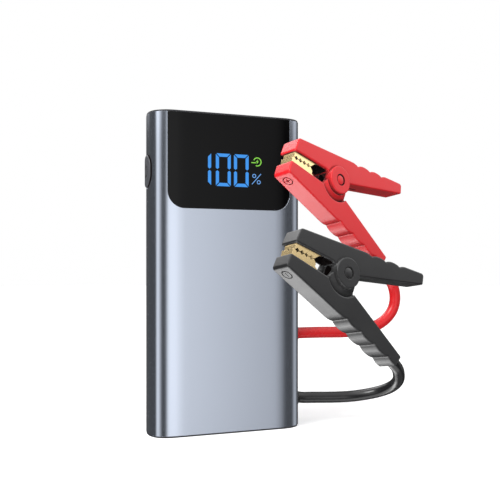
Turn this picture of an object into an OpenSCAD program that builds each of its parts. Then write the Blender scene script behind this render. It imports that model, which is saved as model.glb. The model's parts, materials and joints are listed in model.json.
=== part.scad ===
// Jump starter pack with a red and a black battery clamp.
// Millimetres, +Z up. The origin is the middle of the face that the pack stands on, the display faces -Y,
// and both leads leave on the +X side.

/* [Pack] */
// Width of the pack
pack_w = 85.6; // [82:0.2:96]
// Depth of the pack
pack_d = 26; // [25:0.5:30]
// Height of the pack with both end caps
pack_h = 172; // [168:1:190]
// Wall of the aluminium sleeve
sleeve_wall = 1.6; // [1.4:0.1:2]
// How far in from each side the rounding reaches
side_zone = 13.3; // [11.5:0.1:14]
// Fullness of the rounding, where 2 is an ellipse
side_fullness = 2.45; // [2.2:0.05:3]
// Edge of an end cap that shows outside the sleeve
cap_edge = 0.8; // [0.6:0.1:1.5]
// Thickness of an end cap's plate
cap_plate = 2; // [1.8:0.1:3]
// How far an end cap reaches into the sleeve
cap_depth = 5.8; // [5:0.2:8]

/* [Display] */
// Width of the black window
window_w = 69; // [60:1:72]
// Height of the black window, down from the top cap
window_h = 50.6; // [44:0.2:56]
// Radius of the window's lower corners
window_corner = 9; // [4:0.5:12]
// Thickness of the window
window_t = 1; // [0.8:0.1:1.1]

/* [Side button] */
// Length of the button
button_l = 17.4; // [14:0.2:20]
// Width of the button
button_w = 13; // [9:0.2:13.6]
// How far the button stands out of the sleeve
button_proud = 0.8; // [0.7:0.1:1.5]
// How far the button goes in
button_travel = 0.6; // [0.3:0.1:0.6]
// From the top of the pack down to the button's middle
button_down = 31.3; // [27:0.1:36]

/* [Inside] */
// Room beside the cells for the two leads
lead_room = 23.2; // [23.2:0.2:28]
// Thickness of a pouch cell
cell_t = 6.2; // [5.6:0.1:6.3]
// Room over the cells for the boards and the sockets, and under them for the foot
board_room = 78; // [76:1:90]
// Thickness of the circuit boards
board_t = 1.6; // [1:0.1:2]

/* [Leads] */
// Diameter of a lead
lead_d = 6.5; // [6:0.1:6.8]
// Height of the red lead on the pack's side
red_lead_z = 51.5; // [48:0.5:58]
// Height of the black lead on the pack's side
black_lead_z = 14.5; // [13.5:0.5:18]
// How far a gland stands out of the sleeve
gland_proud = 2; // [1.5:0.1:3]
// Bend radius of a lead inside the pack
inner_bend = 8.5; // [7.5:0.5:9]

/* [Clamp levers] */
// From the pivot to the front of the upper jaw
jaw_l = 35.4; // [34:0.2:38]
// From the pivot to the end of the upper handle
upper_handle_l = 57.5; // [54:0.5:64]
// From the pivot to the end of the lower handle
lower_handle_l = 49.2; // [49:0.2:54]
// Width of a lever
lever_w = 12; // [11.6:0.2:14]
// Wall of a lever
lever_wall = 1.6; // [1.4:0.1:1.8]
// Bevel along the edges of a lever
lever_bevel = 0.5; // [0.3:0.1:0.7]
// Diameter of the round boss at the pivot
boss_d = 16; // [15:0.2:17]
// Width over the two bosses
boss_w = 13.8; // [13.4:0.2:16]
// Distance between two finger grooves
groove_pitch = 10.9; // [10:0.1:11.1]
// Depth of a finger groove
groove_depth = 1.2; // [0.6:0.1:1.4]
// How far a clamp opens, in degrees
clamp_swing = 28; // [20:1:28]

/* [Clamp metal] */
// Thickness of a jaw plate
plate_t = 0.8; // [0.6:0.1:1]
// Distance between two teeth
tooth_pitch = 3.15; // [3:0.05:3.3]
// Height of a tooth
tooth_h = 1.15; // [0.8:0.05:1.4]
// Diameter of the pivot pin
pin_d = 3.8; // [3.4:0.1:4.2]
// Diameter of the spring wire
wire_d = 0.9; // [0.7:0.05:1]
// Mean diameter of the spring's curls
coil_d = 6.8; // [6.4:0.1:7]
// Distance between two curls of the spring
coil_pitch = 1.35; // [1.32:0.01:1.4]

/* [Hidden] */
$fn = 48;
eps = 0.01;

// Clearances
seat_gap = 0.1;
pin_gap = 0.05;
ear_gap = 0.3;
bite_gap = 0.3;

anodised = [0.56, 0.59, 0.65];
cap_black = [0.10, 0.10, 0.12];
window_black = [0.03, 0.03, 0.04];
button_grey = [0.27, 0.28, 0.31];
board_green = [0.05, 0.30, 0.16];
cell_silver = [0.72, 0.73, 0.75];
steel = [0.70, 0.71, 0.73];
copper = [0.78, 0.47, 0.30];
gold = [0.83, 0.66, 0.33];
frame_white = [0.86, 0.86, 0.84];
red_plastic = [0.78, 0.07, 0.06];
black_plastic = [0.09, 0.09, 0.10];

// The routes of the leads start at the mouth of their gland and end where they enter the lower handle
red_route = [
  [0, 0, 0], [3.7, 0, 0], [10.2, 0, 0], [16.7, 0.5, 0], [23.7, 0.5, -0.5], [30.2, 0.5, -0.5],
  [36.7, 1, -0.5], [43.2, 0.5, 0], [49.7, 0.5, 1.5], [55.7, 0, 4], [60.7, -0.5, 8], [64.2, -1, 13.5],
  [64.7, -1.5, 20], [62.7, -2, 26.5], [59.2, -2.5, 32], [54.7, -3.5, 36.5], [50.2, -4.5, 40.8]
];
black_route = [
  [0, 0, 0], [3.7, 0, -0.5], [8.7, -0.5, -0.5], [13.7, -1, -1], [19.2, -2, -1], [25.2, -3.5, -1],
  [30.7, -5, -1], [35.7, -7.5, 0], [40.2, -10.5, 1], [44.7, -14, 2.5], [47.7, -18.5, 4.5], [49.2, -23.5, 7],
  [48.7, -28.5, 10], [47.2, -33, 13], [44.7, -37.5, 16], [41.2, -40.5, 20], [37.4, -41.6, 24]
];
lead_sides = 12;
// How each clamp is turned, about X, then Y, then Z
red_turn = [-8.4, 18.4, 20.5];
black_turn = [-9.2, 21.8, 14.0];

// ---------------------------------------------------------------- general functions

function unit(v) = v / norm(v);
function angle_of(v) = atan2(v.y, v.x);
function arc(centre, r, from, to, steps) =
  [for (i = [0:steps]) let (a = from + (to - from) * i / steps) centre + r * [cos(a), sin(a)]];

// The shorter way round from angle a to angle b
function turn_to(a, b) = (b - a + 540) % 360 - 180;

// A corner at b, rounded with radius r
function round_corner(a, b, c, r, steps) =
  let (
    u = unit(a - b), v = unit(c - b), half = acos(u * v) / 2,
    centre = b + unit(u + v) * r / sin(half),
    from = angle_of(b + u * r / tan(half) - centre),
    to = angle_of(b + v * r / tan(half) - centre)
  )
  arc(centre, r, from, from + turn_to(from, to), steps);

// An outline of [x, y, r] corners, where r is 0 at a sharp one
function rounded(corners, steps = 4) =
  let (n = len(corners), p = [for (c = corners) [c.x, c.y]])
  [for (i = [0:n - 1]) each corners[i][2] > 0
    ? round_corner(p[(i + n - 1) % n], p[i], p[(i + 1) % n], corners[i][2], steps)
    : [p[i]]];

// An outline drawn in by d, for an outline that runs anticlockwise
function drawn_in(outline, d) =
  let (n = len(outline))
  [for (i = [0:n - 1])
    let (
      u = unit(outline[i] - outline[(i + n - 1) % n]), v = unit(outline[(i + 1) % n] - outline[i]),
      nu = [-u.y, u.x], nv = [-v.y, v.x]
    )
    outline[i] + (nu + nv) * d / (1 + nu * nv)];

function reversed(list) = [for (i = [len(list) - 1:-1:0]) list[i]];

// Turned about X, then Y, then Z, as rotate() does
function turned(t, p) =
  let (
    a = [p.x, p.y * cos(t.x) - p.z * sin(t.x), p.y * sin(t.x) + p.z * cos(t.x)],
    b = [a.x * cos(t.y) + a.z * sin(t.y), a.y, a.z * cos(t.y) - a.x * sin(t.y)]
  )
  [b.x * cos(t.z) - b.y * sin(t.z), b.x * sin(t.z) + b.y * cos(t.z), b.z];

// A tube of radius r along a path. It starts square to first_way and ends square to last_way.
function tangent(path, i, first_way, last_way) =
  i == 0 ? first_way : i == len(path) - 1 ? last_way
    : unit(unit(path[i + 1] - path[i]) + unit(path[i] - path[i - 1]));
function normals(ways, i, so_far) =
  i == len(ways) ? so_far
    : let (last = so_far[i - 1]) normals(ways, i + 1, [each so_far, unit(last - (last * ways[i]) * ways[i])]);

module tube(path, r, sides, first_way, last_way) {
  ways = [for (i = [0:len(path) - 1]) tangent(path, i, first_way, last_way)];
  across = abs(first_way.z) < 0.9 ? [0, 0, 1] : [0, 1, 0];
  ups = normals(ways, 1, [unit(across - (across * ways[0]) * ways[0])]);
  rings = len(path);
  points = [for (i = [0:rings - 1], k = [0:sides - 1])
    let (a = 360 * (k + 0.5) / sides) path[i] + r * (ups[i] * cos(a) + cross(ways[i], ups[i]) * sin(a))];
  faces = [
    [for (k = [0:sides - 1]) k],
    for (i = [0:rings - 2], k = [0:sides - 1])
      let (a = i * sides + k, b = i * sides + (k + 1) % sides) each [[a, a + sides, b], [b, a + sides, b + sides]],
    [for (k = [sides - 1:-1:0]) (rings - 1) * sides + k]
  ];
  polyhedron(points, faces, convexity = 6);
}

// An upright outline, given in X and Z, from one Y to another
module upright(outline, y0, y1) {
  translate([0, y1, 0]) rotate([90, 0, 0]) linear_extrude(y1 - y0) polygon(outline);
}

// The same shape on both sides of the plane y = 0
module both_sides() {
  children();
  mirror([0, 1, 0]) children();
}

// The triangles of an outline, by cutting off one corner after another. Twice a triangle's area is its turn.
function turn_of(a, b, c) = (b.x - a.x) * (c.y - a.y) - (b.y - a.y) * (c.x - a.x);
function covers(a, b, c, p, way) = way * turn_of(a, b, p) >= 0 && way * turn_of(b, c, p) >= 0 && way * turn_of(c, a, p) >= 0;
function can_cut(outline, ids, k, way) =
  let (n = len(ids), before = ids[(k + n - 1) % n], here = ids[k], after = ids[(k + 1) % n],
    a = outline[before], b = outline[here], c = outline[after])
  way * turn_of(a, b, c) > 1e-6 &&
  len([for (i = ids) if (i != before && i != here && i != after && covers(a, b, c, outline[i], way)) i]) == 0;
function first_cut(outline, ids, k, way) = k >= len(ids) - 1 || can_cut(outline, ids, k, way) ? k : first_cut(outline, ids, k + 1, way);
function triangles(outline, ids, way, so_far = []) =
  len(ids) == 3 ? [each so_far, ids]
    : let (n = len(ids), k = first_cut(outline, ids, 0, way))
      triangles(outline, [for (i = [1:n - 1]) ids[(k + i) % n]], way, [each so_far, [ids[(k + n - 1) % n], ids[k], ids[(k + 1) % n]]]);
function area_of(outline) = let (n = len(outline)) 0.5 * sum_of([for (i = [0:n - 1]) turn_of([0, 0], outline[i], outline[(i + 1) % n])]);
function sum_of(list) = list * [for (v = list) 1];

// A slab of an upright outline, with its two rims bevelled
module bevelled_slab(outline, width, bevel) {
  n = len(outline);
  narrow = drawn_in(outline, bevel);
  levels = [[narrow, -width / 2], [outline, bevel - width / 2], [outline, width / 2 - bevel], [narrow, width / 2]];
  points = [for (level = levels, p = level[0]) [p.x, level[1], p.y]];
  sides = triangles(narrow, [for (i = [0:n - 1]) i], sign(area_of(narrow)));
  faces = [
    for (t = sides) reversed(t),
    for (k = [0:2], i = [0:n - 1]) [k * n + i, k * n + (i + 1) % n, (k + 1) * n + (i + 1) % n, (k + 1) * n + i],
    for (t = sides) [for (i = t) 3 * n + i]
  ];
  polyhedron(points, faces, convexity = 8);
}

// A slot shape with round ends, w across and l along
module slot_shape(w, l) {
  square([w, l - w], center = true);
  for (side = [-1, 1]) translate([0, side * (l - w) / 2]) circle(d = w);
}

// ---------------------------------------------------------------- pack

sleeve_top = pack_h - cap_edge;
button_z = pack_h - button_down;
side_steps = 24;

// The pack's section, drawn in by k
function section(k) =
  let (zone = side_zone - k, half_d = pack_d / 2 - k, flat = pack_w / 2 - side_zone, e = 2 / side_fullness)
  [for (side = [1, -1], i = [0:side_steps])
    let (a = -90 + 180 * i / side_steps)
    side * [flat + zone * pow(abs(cos(a)), e), half_d * sign(sin(a)) * pow(abs(sin(a)), e)]];

// How far in the pack's side is at y, under a wall of k
function side_in(y, k) =
  let (zone = side_zone - k, half_d = pack_d / 2 - k, e = 1 / side_fullness)
  side_zone - zone * pow(1 - pow(abs(y) / half_d, side_fullness), e);

module block(k, z0, z1) {
  translate([0, 0, z0]) linear_extrude(z1 - z0) polygon(section(k));
}

// The window's outline, grown by gap
module window_prism(gap) {
  half = window_w / 2 + gap;
  low = sleeve_top - window_h - gap;
  upright(rounded([
    [-half, low, window_corner + gap], [half, low, window_corner + gap],
    [half, sleeve_top + gap, 0], [-half, sleeve_top + gap, 0]
  ]), -pack_d, 0);
}

// The part of the display that stands in the sleeve's opening
display_w = 50;
display_h = 28;
display_down = 29;
display_z = sleeve_top - display_down;

// A slot shape on the pack's -X side, from x0 to x1
module side_slot(grow, x0, x1) {
  translate([x0, 0, button_z]) rotate([90, 0, 90]) linear_extrude(x1 - x0)
    slot_shape(button_w + grow, button_l + grow);
}

gland_neck_r = lead_d / 2 + 1.15;
gland_flange_r = gland_neck_r + 0.6;

module sleeve() color(anodised) difference() {
  block(0, cap_edge, sleeve_top);
  block(sleeve_wall, 0, pack_h);
  difference() {
    window_prism(seat_gap);
    block(window_t, 0, pack_h);
  }
  translate([-display_w / 2 - 1, -pack_d, display_z - display_h / 2 - 1])
    cube([display_w + 2, pack_d, display_h + 2]);
  side_slot(bezel_grow + 2 * seat_gap, -pack_w / 2 - 1, -pack_w / 2 + side_zone - 2);
  for (z = [red_lead_z, black_lead_z])
    translate([pack_w / 2 - side_zone / 2, 0, z]) rotate([0, 90, 0]) cylinder(r = gland_neck_r + seat_gap, h = side_zone);
}

module display_window() color(window_black) intersection() {
  window_prism(0);
  difference() {
    block(0, 0, sleeve_top);
    block(window_t, -1, pack_h);
  }
}

// A cap's plate and the rim that fits in the sleeve, with the outer face at z = 0
module cap_shape() {
  block(0, 0, cap_edge);
  difference() {
    block(sleeve_wall + seat_gap, 0, cap_depth);
    block(2 * sleeve_wall + seat_gap, cap_plate, cap_depth + 1);
  }
}

screw_in = 22;
screw_x = pack_w / 2 - screw_in;
screw_r = 1.4;
screw_head_r = 2.9;

module bottom_cap() color(cap_black) difference() {
  cap_shape();
  for (side = [-1, 1]) translate([side * screw_x, 0, 0]) {
    translate([0, 0, -1]) cylinder(r = screw_r + seat_gap, h = cap_plate + 2);
    translate([0, 0, -eps])
      cylinder(r1 = screw_head_r + 2 * seat_gap, r2 = screw_r + seat_gap, h = screw_head_r - screw_r + seat_gap);
  }
}

module cap_screws() color(steel) for (side = [-1, 1]) translate([side * screw_x, 0, seat_gap]) {
  difference() {
    cylinder(r1 = screw_head_r, r2 = screw_r, h = screw_head_r - screw_r);
    translate([0, 0, -eps]) cylinder(r = 1, h = 0.8, $fn = 6);
  }
  translate([0, 0, screw_head_r - screw_r - eps]) cylinder(r = screw_r, h = floor_z + 1.4 - screw_head_r + screw_r);
}

lamp_in = 20.8;
port_pitch = 18;
lamp_x = pack_w / 2 - lamp_in;
usb_c_x = lamp_x - port_pitch;
usb_a_x = usb_c_x - port_pitch;
port_top = pack_h - seat_gap;
usb_a_size = [13.1, 5.7, 14];
usb_c_size = [9, 3.2, 8.5];
port_shell = 0.3;
lamp_r = 5;
lamp_tube = 1.3;

module top_cap() color(cap_black) difference() {
  union() {
    translate([0, 0, pack_h]) mirror([0, 0, 1]) cap_shape();
    translate([lamp_x, 0, lamp_z0]) cylinder(r = lamp_r + lamp_tube, h = sleeve_top - lamp_z0);
  }
  translate([usb_a_x, 0, pack_h]) cube([usb_a_size.x + 2 * seat_gap, usb_a_size.y + 2 * seat_gap, 4 * cap_plate], center = true);
  translate([usb_c_x, 0, pack_h - 2 * cap_plate]) linear_extrude(4 * cap_plate) rotate(90)
    slot_shape(usb_c_size.y + 2 * seat_gap, usb_c_size.x + 2 * seat_gap);
  translate([lamp_x, 0, lamp_z0 - 1]) cylinder(r = lamp_r + pin_gap, h = pack_h);
}

// ---------------------------------------------------------------- inside

inner_d = pack_d / 2 - sleeve_wall;
back_t = 1.4;
back_y = inner_d - 0.2 - back_t;
floor_z = 6;
floor_t = 2.2;
cell_in = side_in(back_y, sleeve_wall) + 0.15;
cell_w = pack_w - cell_in - lead_room;
cell_h = pack_h - board_room;
cell_x = -pack_w / 2 + cell_in + cell_w / 2;
cell_z = floor_z + floor_t + 0.2;
cell_pack_t = 3 * cell_t;
tab_h = 0.8;
shelf_z = cell_z + cell_h + tab_h + 0.4;
board_z0 = shelf_z + 4;
board_z1 = pack_h - 9;
board_x0 = -pack_w / 2 + 9.6;
board_x1 = pack_w / 2 - 6;
board_y = 3.6;
post_r = 2.2;
lamp_z0 = board_z1 + 0.4;
gland_in = 3.2;
riser_red_x = pack_w / 2 - gland_in - inner_bend - 0.5;
riser_black_x = riser_red_x - lead_d - 0.8;
terminal_h = 7;
lead_top = board_z0 + 3;

// The inner frame: a back plate, a foot that the cap's screws hold, and a shelf over the cells
module chassis() color(frame_white) difference() {
  union() {
    translate([-pack_w / 2 + side_zone, back_y, floor_z])
      cube([pack_w - 2 * side_zone, back_t, board_z1 - floor_z]);
    intersection() {
      block(sleeve_wall + 0.2, floor_z, shelf_z + 1.4);
      translate([-pack_w / 2, -pack_d / 2, 0]) for (z = [floor_z, shelf_z])
        translate([0, 0, z]) cube([cell_x + cell_w / 2 + pack_w / 2, back_y + pack_d / 2 + eps, z == floor_z ? floor_t : 1.4]);
    }
    for (side = [-1, 1]) translate([side * screw_x, 0, cap_plate + 0.05]) cylinder(r = 3.2, h = floor_z - cap_plate);
    for (x = [board_x0 + 8, board_x1 - 14], z = [board_z0 + 6, board_z1 - 14])
      translate([x, board_y + board_t, z]) rotate([-90, 0, 0]) cylinder(r = post_r, h = back_y - board_y - board_t + eps);
  }
  for (side = [-1, 1]) translate([side * screw_x, 0, 0]) cylinder(r = screw_r + pin_gap, h = floor_z + 1.8);
}

module cell(row) {
  translate([cell_x - cell_w / 2, back_y - cell_pack_t + row * cell_t, cell_z]) color(cell_silver) difference() {
    cube([cell_w, cell_t - 0.1, cell_h]);
    for (side = [0, 1]) translate([side * cell_w, -1, cell_h]) rotate([0, 45, 0]) cube([2, 3 * cell_t, 2], center = true);
  }
}
module cell_front() cell(0);
module cell_middle() cell(1);
module cell_rear() cell(2);

module cell_tabs() color(copper) for (side = [-1, 1])
  translate([cell_x + side * 14 - 5, back_y - cell_pack_t + 1, cell_z + cell_h]) cube([10, cell_pack_t - 2, tab_h]);

module foam_pad() color([0.2, 0.2, 0.2])
  translate([cell_x - cell_w / 2 + 6, 0.1 - inner_d, cell_z + 2])
    cube([cell_w - 8, inner_d + back_y - cell_pack_t - 0.2, cell_h - 4]);

module main_board() color(board_green)
  translate([board_x0, board_y, board_z0]) cube([board_x1 - board_x0, board_t, board_z1 - board_z0]);

module display_board() color(board_green) {
  face = -pack_d / 2 + window_t + seat_gap;
  translate([-display_w / 2, face, display_z - display_h / 2]) cube([display_w, 2.5, display_h]);
  translate([-display_w / 2 - 3, face + 2.5, display_z - display_h / 2 - 3]) cube([display_w + 6, board_t, display_h + 6]);
}

capacitor_r = 5;
capacitor_h = 20;
// The transistors fill the row from the board's edge to the black lead's terminal
row_from = board_x0 + 5;
row_to = riser_black_x - lead_d / 2 - 0.65;
row_gap = 2;
row_pitch = (row_to - row_from + row_gap) / 4;
transistor = [row_pitch - row_gap, 4.5, 15];
transistor_up = 4;
capacitor_up = transistor_up + transistor.z + 5;
module capacitors() color([0.15, 0.2, 0.4]) for (i = [0:1])
  translate([board_x0 + capacitor_r + 3 + (2 * capacitor_r + 2) * i, board_y - capacitor_r, board_z0 + capacitor_up])
    cylinder(r = capacitor_r, h = capacitor_h);

module transistors() color([0.12, 0.12, 0.12]) for (i = [0:3])
  translate([row_from + row_pitch * i, board_y - transistor.y, board_z0 + transistor_up]) cube(transistor);

module lead_terminals() color(gold) for (x = [riser_red_x, riser_black_x])
  translate([x - lead_d / 2, -lead_d / 2, lead_top]) cube([lead_d, board_y + lead_d / 2, terminal_h]);

module button_switch() {
  color(board_green) translate([board_x0 - 1.2, -5, button_z - 8]) cube([1.2, board_y + board_t + 5, 16]);
  color(cap_black) translate([board_x0 - 1.2 - switch_t, -3, button_z - 3]) cube([switch_t, 6, 6]);
}
bezel_grow = 1;
bezel_deep = side_in((button_w + bezel_grow + 3) / 2, sleeve_wall + 0.05) + 0.3;
button_flange_x = -pack_w / 2 + bezel_deep + 0.05;
button_flange_t = 0.8;
switch_t = board_x0 - 1.2 - button_flange_x - button_flange_t - button_travel - 0.1;

// The bezel's sleeve follows the pack's side, and its flange lies against the inside of the wall
module button_bezel() color(cap_black) difference() {
  union() {
    intersection() {
      side_slot(bezel_grow, -pack_w / 2, -pack_w / 2 + bezel_deep);
      block(0.3, 0, pack_h);
    }
    intersection() {
      side_slot(bezel_grow + 3, -pack_w / 2, -pack_w / 2 + bezel_deep);
      block(sleeve_wall + 0.05, 0, pack_h);
    }
  }
  side_slot(2 * seat_gap, -pack_w / 2 - 1, -pack_w / 2 + bezel_deep + 1);
}

module power_button() color(button_grey) {
  intersection() {
    side_slot(0, -pack_w / 2 - 2, button_flange_x + eps);
    block(-button_proud, 0, pack_h);
  }
  intersection() {
    side_slot(2, button_flange_x, button_flange_x + button_flange_t);
    block(sleeve_wall + 0.3, 0, pack_h);
  }
}

// ---------------------------------------------------------------- sockets and lamp

module usb_a_shell() color(steel) translate([usb_a_x, 0, port_top - usb_a_size.z]) difference() {
  translate([-usb_a_size.x / 2, -usb_a_size.y / 2, 0]) cube(usb_a_size);
  translate([port_shell - usb_a_size.x / 2, port_shell - usb_a_size.y / 2, -1])
    cube([usb_a_size.x - 2 * port_shell, usb_a_size.y - 2 * port_shell, usb_a_size.z + 2]);
}

module usb_a_tongue() color([0.1, 0.2, 0.5]) translate([usb_a_x, 0, port_top - usb_a_size.z]) {
  translate([port_shell - usb_a_size.x / 2, port_shell - usb_a_size.y / 2, 0])
    cube([usb_a_size.x - 2 * port_shell, usb_a_size.y - 2 * port_shell, 2]);
  translate([-5.55, 0.4, 2 - eps]) cube([11.1, 1.8, usb_a_size.z - 2.6]);
  translate([-4, usb_a_size.y / 2, 0]) cube([8, board_y - usb_a_size.y / 2, 4]);
}

module usb_c_shell() color(steel) translate([usb_c_x, 0, port_top - usb_c_size.z]) rotate(90) difference() {
  linear_extrude(usb_c_size.z) slot_shape(usb_c_size.y, usb_c_size.x);
  translate([0, 0, -1]) linear_extrude(usb_c_size.z + 2)
    slot_shape(usb_c_size.y - 2 * port_shell, usb_c_size.x - 2 * port_shell);
}

module usb_c_tongue() color(cap_black) translate([usb_c_x, 0, port_top - usb_c_size.z]) {
  rotate(90) linear_extrude(1.5) slot_shape(usb_c_size.y - 2 * port_shell, usb_c_size.x - 2 * port_shell);
  translate([-3.35, -0.35, 1.5 - eps]) cube([6.7, 0.7, usb_c_size.z - 2]);
  translate([-3, usb_c_size.y / 2, -2]) cube([6, board_y - usb_c_size.y / 2, 4]);
}

module lamp_lens() color([0.9, 0.9, 0.95]) translate([lamp_x, 0, pack_h - 0.2]) rotate([180, 0, 0]) rotate_extrude()
  polygon([[0, 0], [lamp_r - 0.5, 0], [lamp_r, 0.5], [lamp_r, 2], [3, 2], [1.8, 4.4], [0, 4.4]]);

module lamp_led() color([0.95, 0.9, 0.6]) translate([lamp_x, 0, lamp_z0]) {
  cylinder(r = lamp_r, h = 1);
  cylinder(r = 1.7, h = 2);
}

// ---------------------------------------------------------------- leads

red = [red_lead_z, red_route, red_turn];
black = [black_lead_z, black_route, black_turn];
function gland_mouth(lead) = [pack_w / 2 + gland_proud, 0, lead[0]];
function lead_end(lead) = gland_mouth(lead) + lead[1][len(lead[1]) - 1];

module gland(lead) translate([pack_w / 2, 0, lead[0]]) difference() {
  rotate([0, 90, 0]) rotate_extrude() polygon([
    [0, -gland_in], [gland_flange_r, -gland_in], [gland_flange_r, -gland_in + 0.9],
    [gland_neck_r, -gland_in + 0.9], [gland_neck_r, -0.9], [gland_flange_r, -0.9],
    [gland_flange_r, 0.3], [gland_flange_r - 0.5, 0.9], [lead_d / 2 + 0.3, 1.3], [lead_d / 2 + 0.1, gland_proud], [0, gland_proud]
  ]);
  difference() {
    translate([-2 * gland_in, -pack_d, -pack_d]) cube([2 * gland_in + 1, 2 * pack_d, 2 * pack_d]);
    translate([-pack_w / 2, 0, -pack_d]) block(sleeve_wall + 0.05, -1, 3 * pack_d);
    rotate([0, 90, 0]) cylinder(r = gland_neck_r, h = 4 * gland_in, center = true);
    translate([-pack_w / 2, 0, -pack_d]) difference() {
      block(-3, -1, 3 * pack_d);
      block(-0.02, -2, 3 * pack_d + 1);
    }
  }
}
module red_gland() color([0.16, 0.05, 0.05]) gland(red);
module black_gland() color(cap_black) gland(black);

// A lead goes in from its gland, bends up and ends in its terminal
module inner_lead(lead, riser_x) {
  bend = arc([riser_x + inner_bend, lead[0] + inner_bend], inner_bend, 270, 180, 6);
  path = [
    [pack_w / 2 - gland_in, 0, lead[0]], for (p = bend) [p.x, 0, p.y], [riser_x, 0, lead_top]
  ];
  tube(path, lead_d / 2, lead_sides, [-1, 0, 0], [0, 0, 1]);
}
module red_inner_lead() color(red_plastic) inner_lead(red, riser_red_x);
module black_inner_lead() color(black_plastic) inner_lead(black, riser_black_x);

module cord(lead) {
  way_in = turned(lead[2], [-cos(lead_slope), 0, sin(lead_slope)]);
  translate(gland_mouth(lead)) tube(lead[1], lead_d / 2, lead_sides, [1, 0, 0], way_in);
}
module red_cord() color(red_plastic) cord(red);
module black_cord() color(black_plastic) cord(black);

// ---------------------------------------------------------------- clamps
// In a clamp's own frame the pivot is the origin, its axis is Y, the jaws point to -X and the upper lever is above.

boss_r = boss_d / 2;
relief_r = boss_r + 4.2;
cavity_y = lever_w / 2 - lever_wall;
spring_room = 2 * coil_pitch + wire_d + 1;
ear_t = 1.1;
lower_ear_y = spring_room / 2 + ear_t;
upper_ear_y = lower_ear_y + ear_gap;
cap_r = pin_d / 2 + 1.4;
cap_seat = 0.95;

// Levels and slopes of the four long edges, in degrees and at the pivot
top_z = 15.35;
top_slope = 7.07;
under_z = -0.7;
under_slope = 16.2;
outer_z = -21.8;
outer_slope = -16.1;
inner_slope = -26.57;
spring_rest = 0.03;
inner_z = -(coil_d / 2 + wire_d / 2 + spring_rest) / cos(inner_slope);
throat_z = 3;
lower_edge_z = -7.14;
lower_edge_slope = -5.24;
function edge_z(z, slope, x) = z + x * tan(slope);
function top_at(x) = edge_z(top_z, top_slope, x);
function under_at(x) = edge_z(under_z, under_slope, x);
function outer_at(x) = edge_z(outer_z, outer_slope, x);
function inner_at(x) = edge_z(inner_z, inner_slope, x);
function lower_edge_at(x) = edge_z(lower_edge_z, lower_edge_slope, x);

// One finger groove as shares of the pitch and of the depth: a slow fall, the bottom, and a steep rise
groove = [[-0.55, 0], [-0.35, 0.12], [-0.15, 0.5], [0, 1], [0.14, 0.45], [0.3, 0.08]];
crest = [0.45, 0];
function groove_line(first, count) =
  [for (i = [0:count - 1], p = groove) [first + (p[0] + i) * groove_pitch, p[1] * groove_depth],
   [first + (crest[0] + count - 1) * groove_pitch, 0]];
upper_grooves = groove_line(15.9, 3);
lower_grooves = groove_line(6.6, 4);

upper_lean = 1.9;
upper_nose = -jaw_l;
lower_nose = upper_nose - 1.1;
lower_lean = 1.2;

function sharp(points) = [for (p = points) [p.x, p.y, 0]];

// The slab ends inside the round bosses
slab_boss_r = boss_r - 0.5;
upper_outline = rounded(concat(
  [[upper_nose, throat_z, 0.6], [-slab_boss_r, throat_z, 3]],
  sharp(arc([0, 0], slab_boss_r, 190, 355, 11)),
  [[boss_r + 1.6, under_at(boss_r + 1.6), 0]],
  [[upper_handle_l + 0.2, under_at(upper_handle_l + 0.2), 0.8], [upper_handle_l - 0.2, top_at(upper_handle_l), 1.8]],
  [for (p = reversed(upper_grooves)) [p.x, top_at(p.x) - p.y, 0]],
  [[upper_nose + upper_lean, top_at(upper_nose + upper_lean), 2]]
));

// The relief round the pivot runs from the inner face to the jaw's edge
relief_from = inner_slope - asin(-inner_z * cos(inner_slope) / relief_r);
relief_to = lower_edge_slope - 180 + asin(-lower_edge_z * cos(lower_edge_slope) / relief_r);
lower_outline = rounded(concat(
  [[lower_nose, lower_edge_at(lower_nose), 0.6], [lower_nose - lower_lean, outer_at(lower_nose - lower_lean), 1.8]],
  [for (p = lower_grooves) [p.x, outer_at(p.x) + p.y, 0]],
  [[lower_handle_l - 3.2, outer_at(lower_handle_l - 3.2), 0.9], [lower_handle_l, inner_at(lower_handle_l), 0.9]],
  sharp(arc([0, 0], relief_r, relief_from, relief_to, 12))
));

// A lead's way through the lower handle, from where it enters
lead_slope = 19.2;
lead_exit = [lower_handle_l - 0.2, 0, inner_at(lower_handle_l - 0.2) - 2.46];
tail_l = 33;
barrel_l = 8;

module placed(lead) translate(lead_end(lead) - turned(lead[2], lead_exit)) rotate(lead[2]) children();
module along_lead() translate(lead_exit) rotate([0, lead_slope, 0]) children();

jaw_front = upper_nose + 1.6;
lower_jaw_front = lower_nose + 1.4;
jaw_back = -15;
jaw_half = cavity_y - 0.15;
upper_web_z = 5;
lower_web_z = -8;

module pivot_cuts() {
  rotate([90, 0, 0]) cylinder(r = pin_d / 2 + pin_gap, h = 2 * boss_w, center = true);
  both_sides() translate([0, boss_w / 2 - cap_seat, 0]) rotate([-90, 0, 0]) cylinder(r = cap_r + 0.2, h = boss_w);
}

module upper_lever() difference() {
  union() {
    bevelled_slab(upper_outline, lever_w, lever_bevel);
    both_sides() translate([0, upper_ear_y, 0]) rotate([-90, 0, 0]) cylinder(r = boss_r, h = boss_w / 2 - upper_ear_y);
  }
  rotate([90, 0, 0]) cylinder(r = boss_r + ear_gap, h = 2 * upper_ear_y, center = true);
  translate([jaw_front - 0.1, -cavity_y, 0]) cube([jaw_back + 0.5 - jaw_front, 2 * cavity_y, upper_web_z + plate_t + 0.05]);
  translate([jaw_screw_x, 0, 0]) cylinder(r = jaw_screw_r + pin_gap, h = upper_web_z + jaw_screw_l + 0.2);
  rotate([0, -under_slope, 0]) translate([0, leg_y - wire_d / 2 - 0.2, -2])
    cube([leg_l + 1.5, wire_d + 0.4, coil_d / 2 + wire_d / 2 + 0.05 + 2]);
  pivot_cuts();
}

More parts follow.
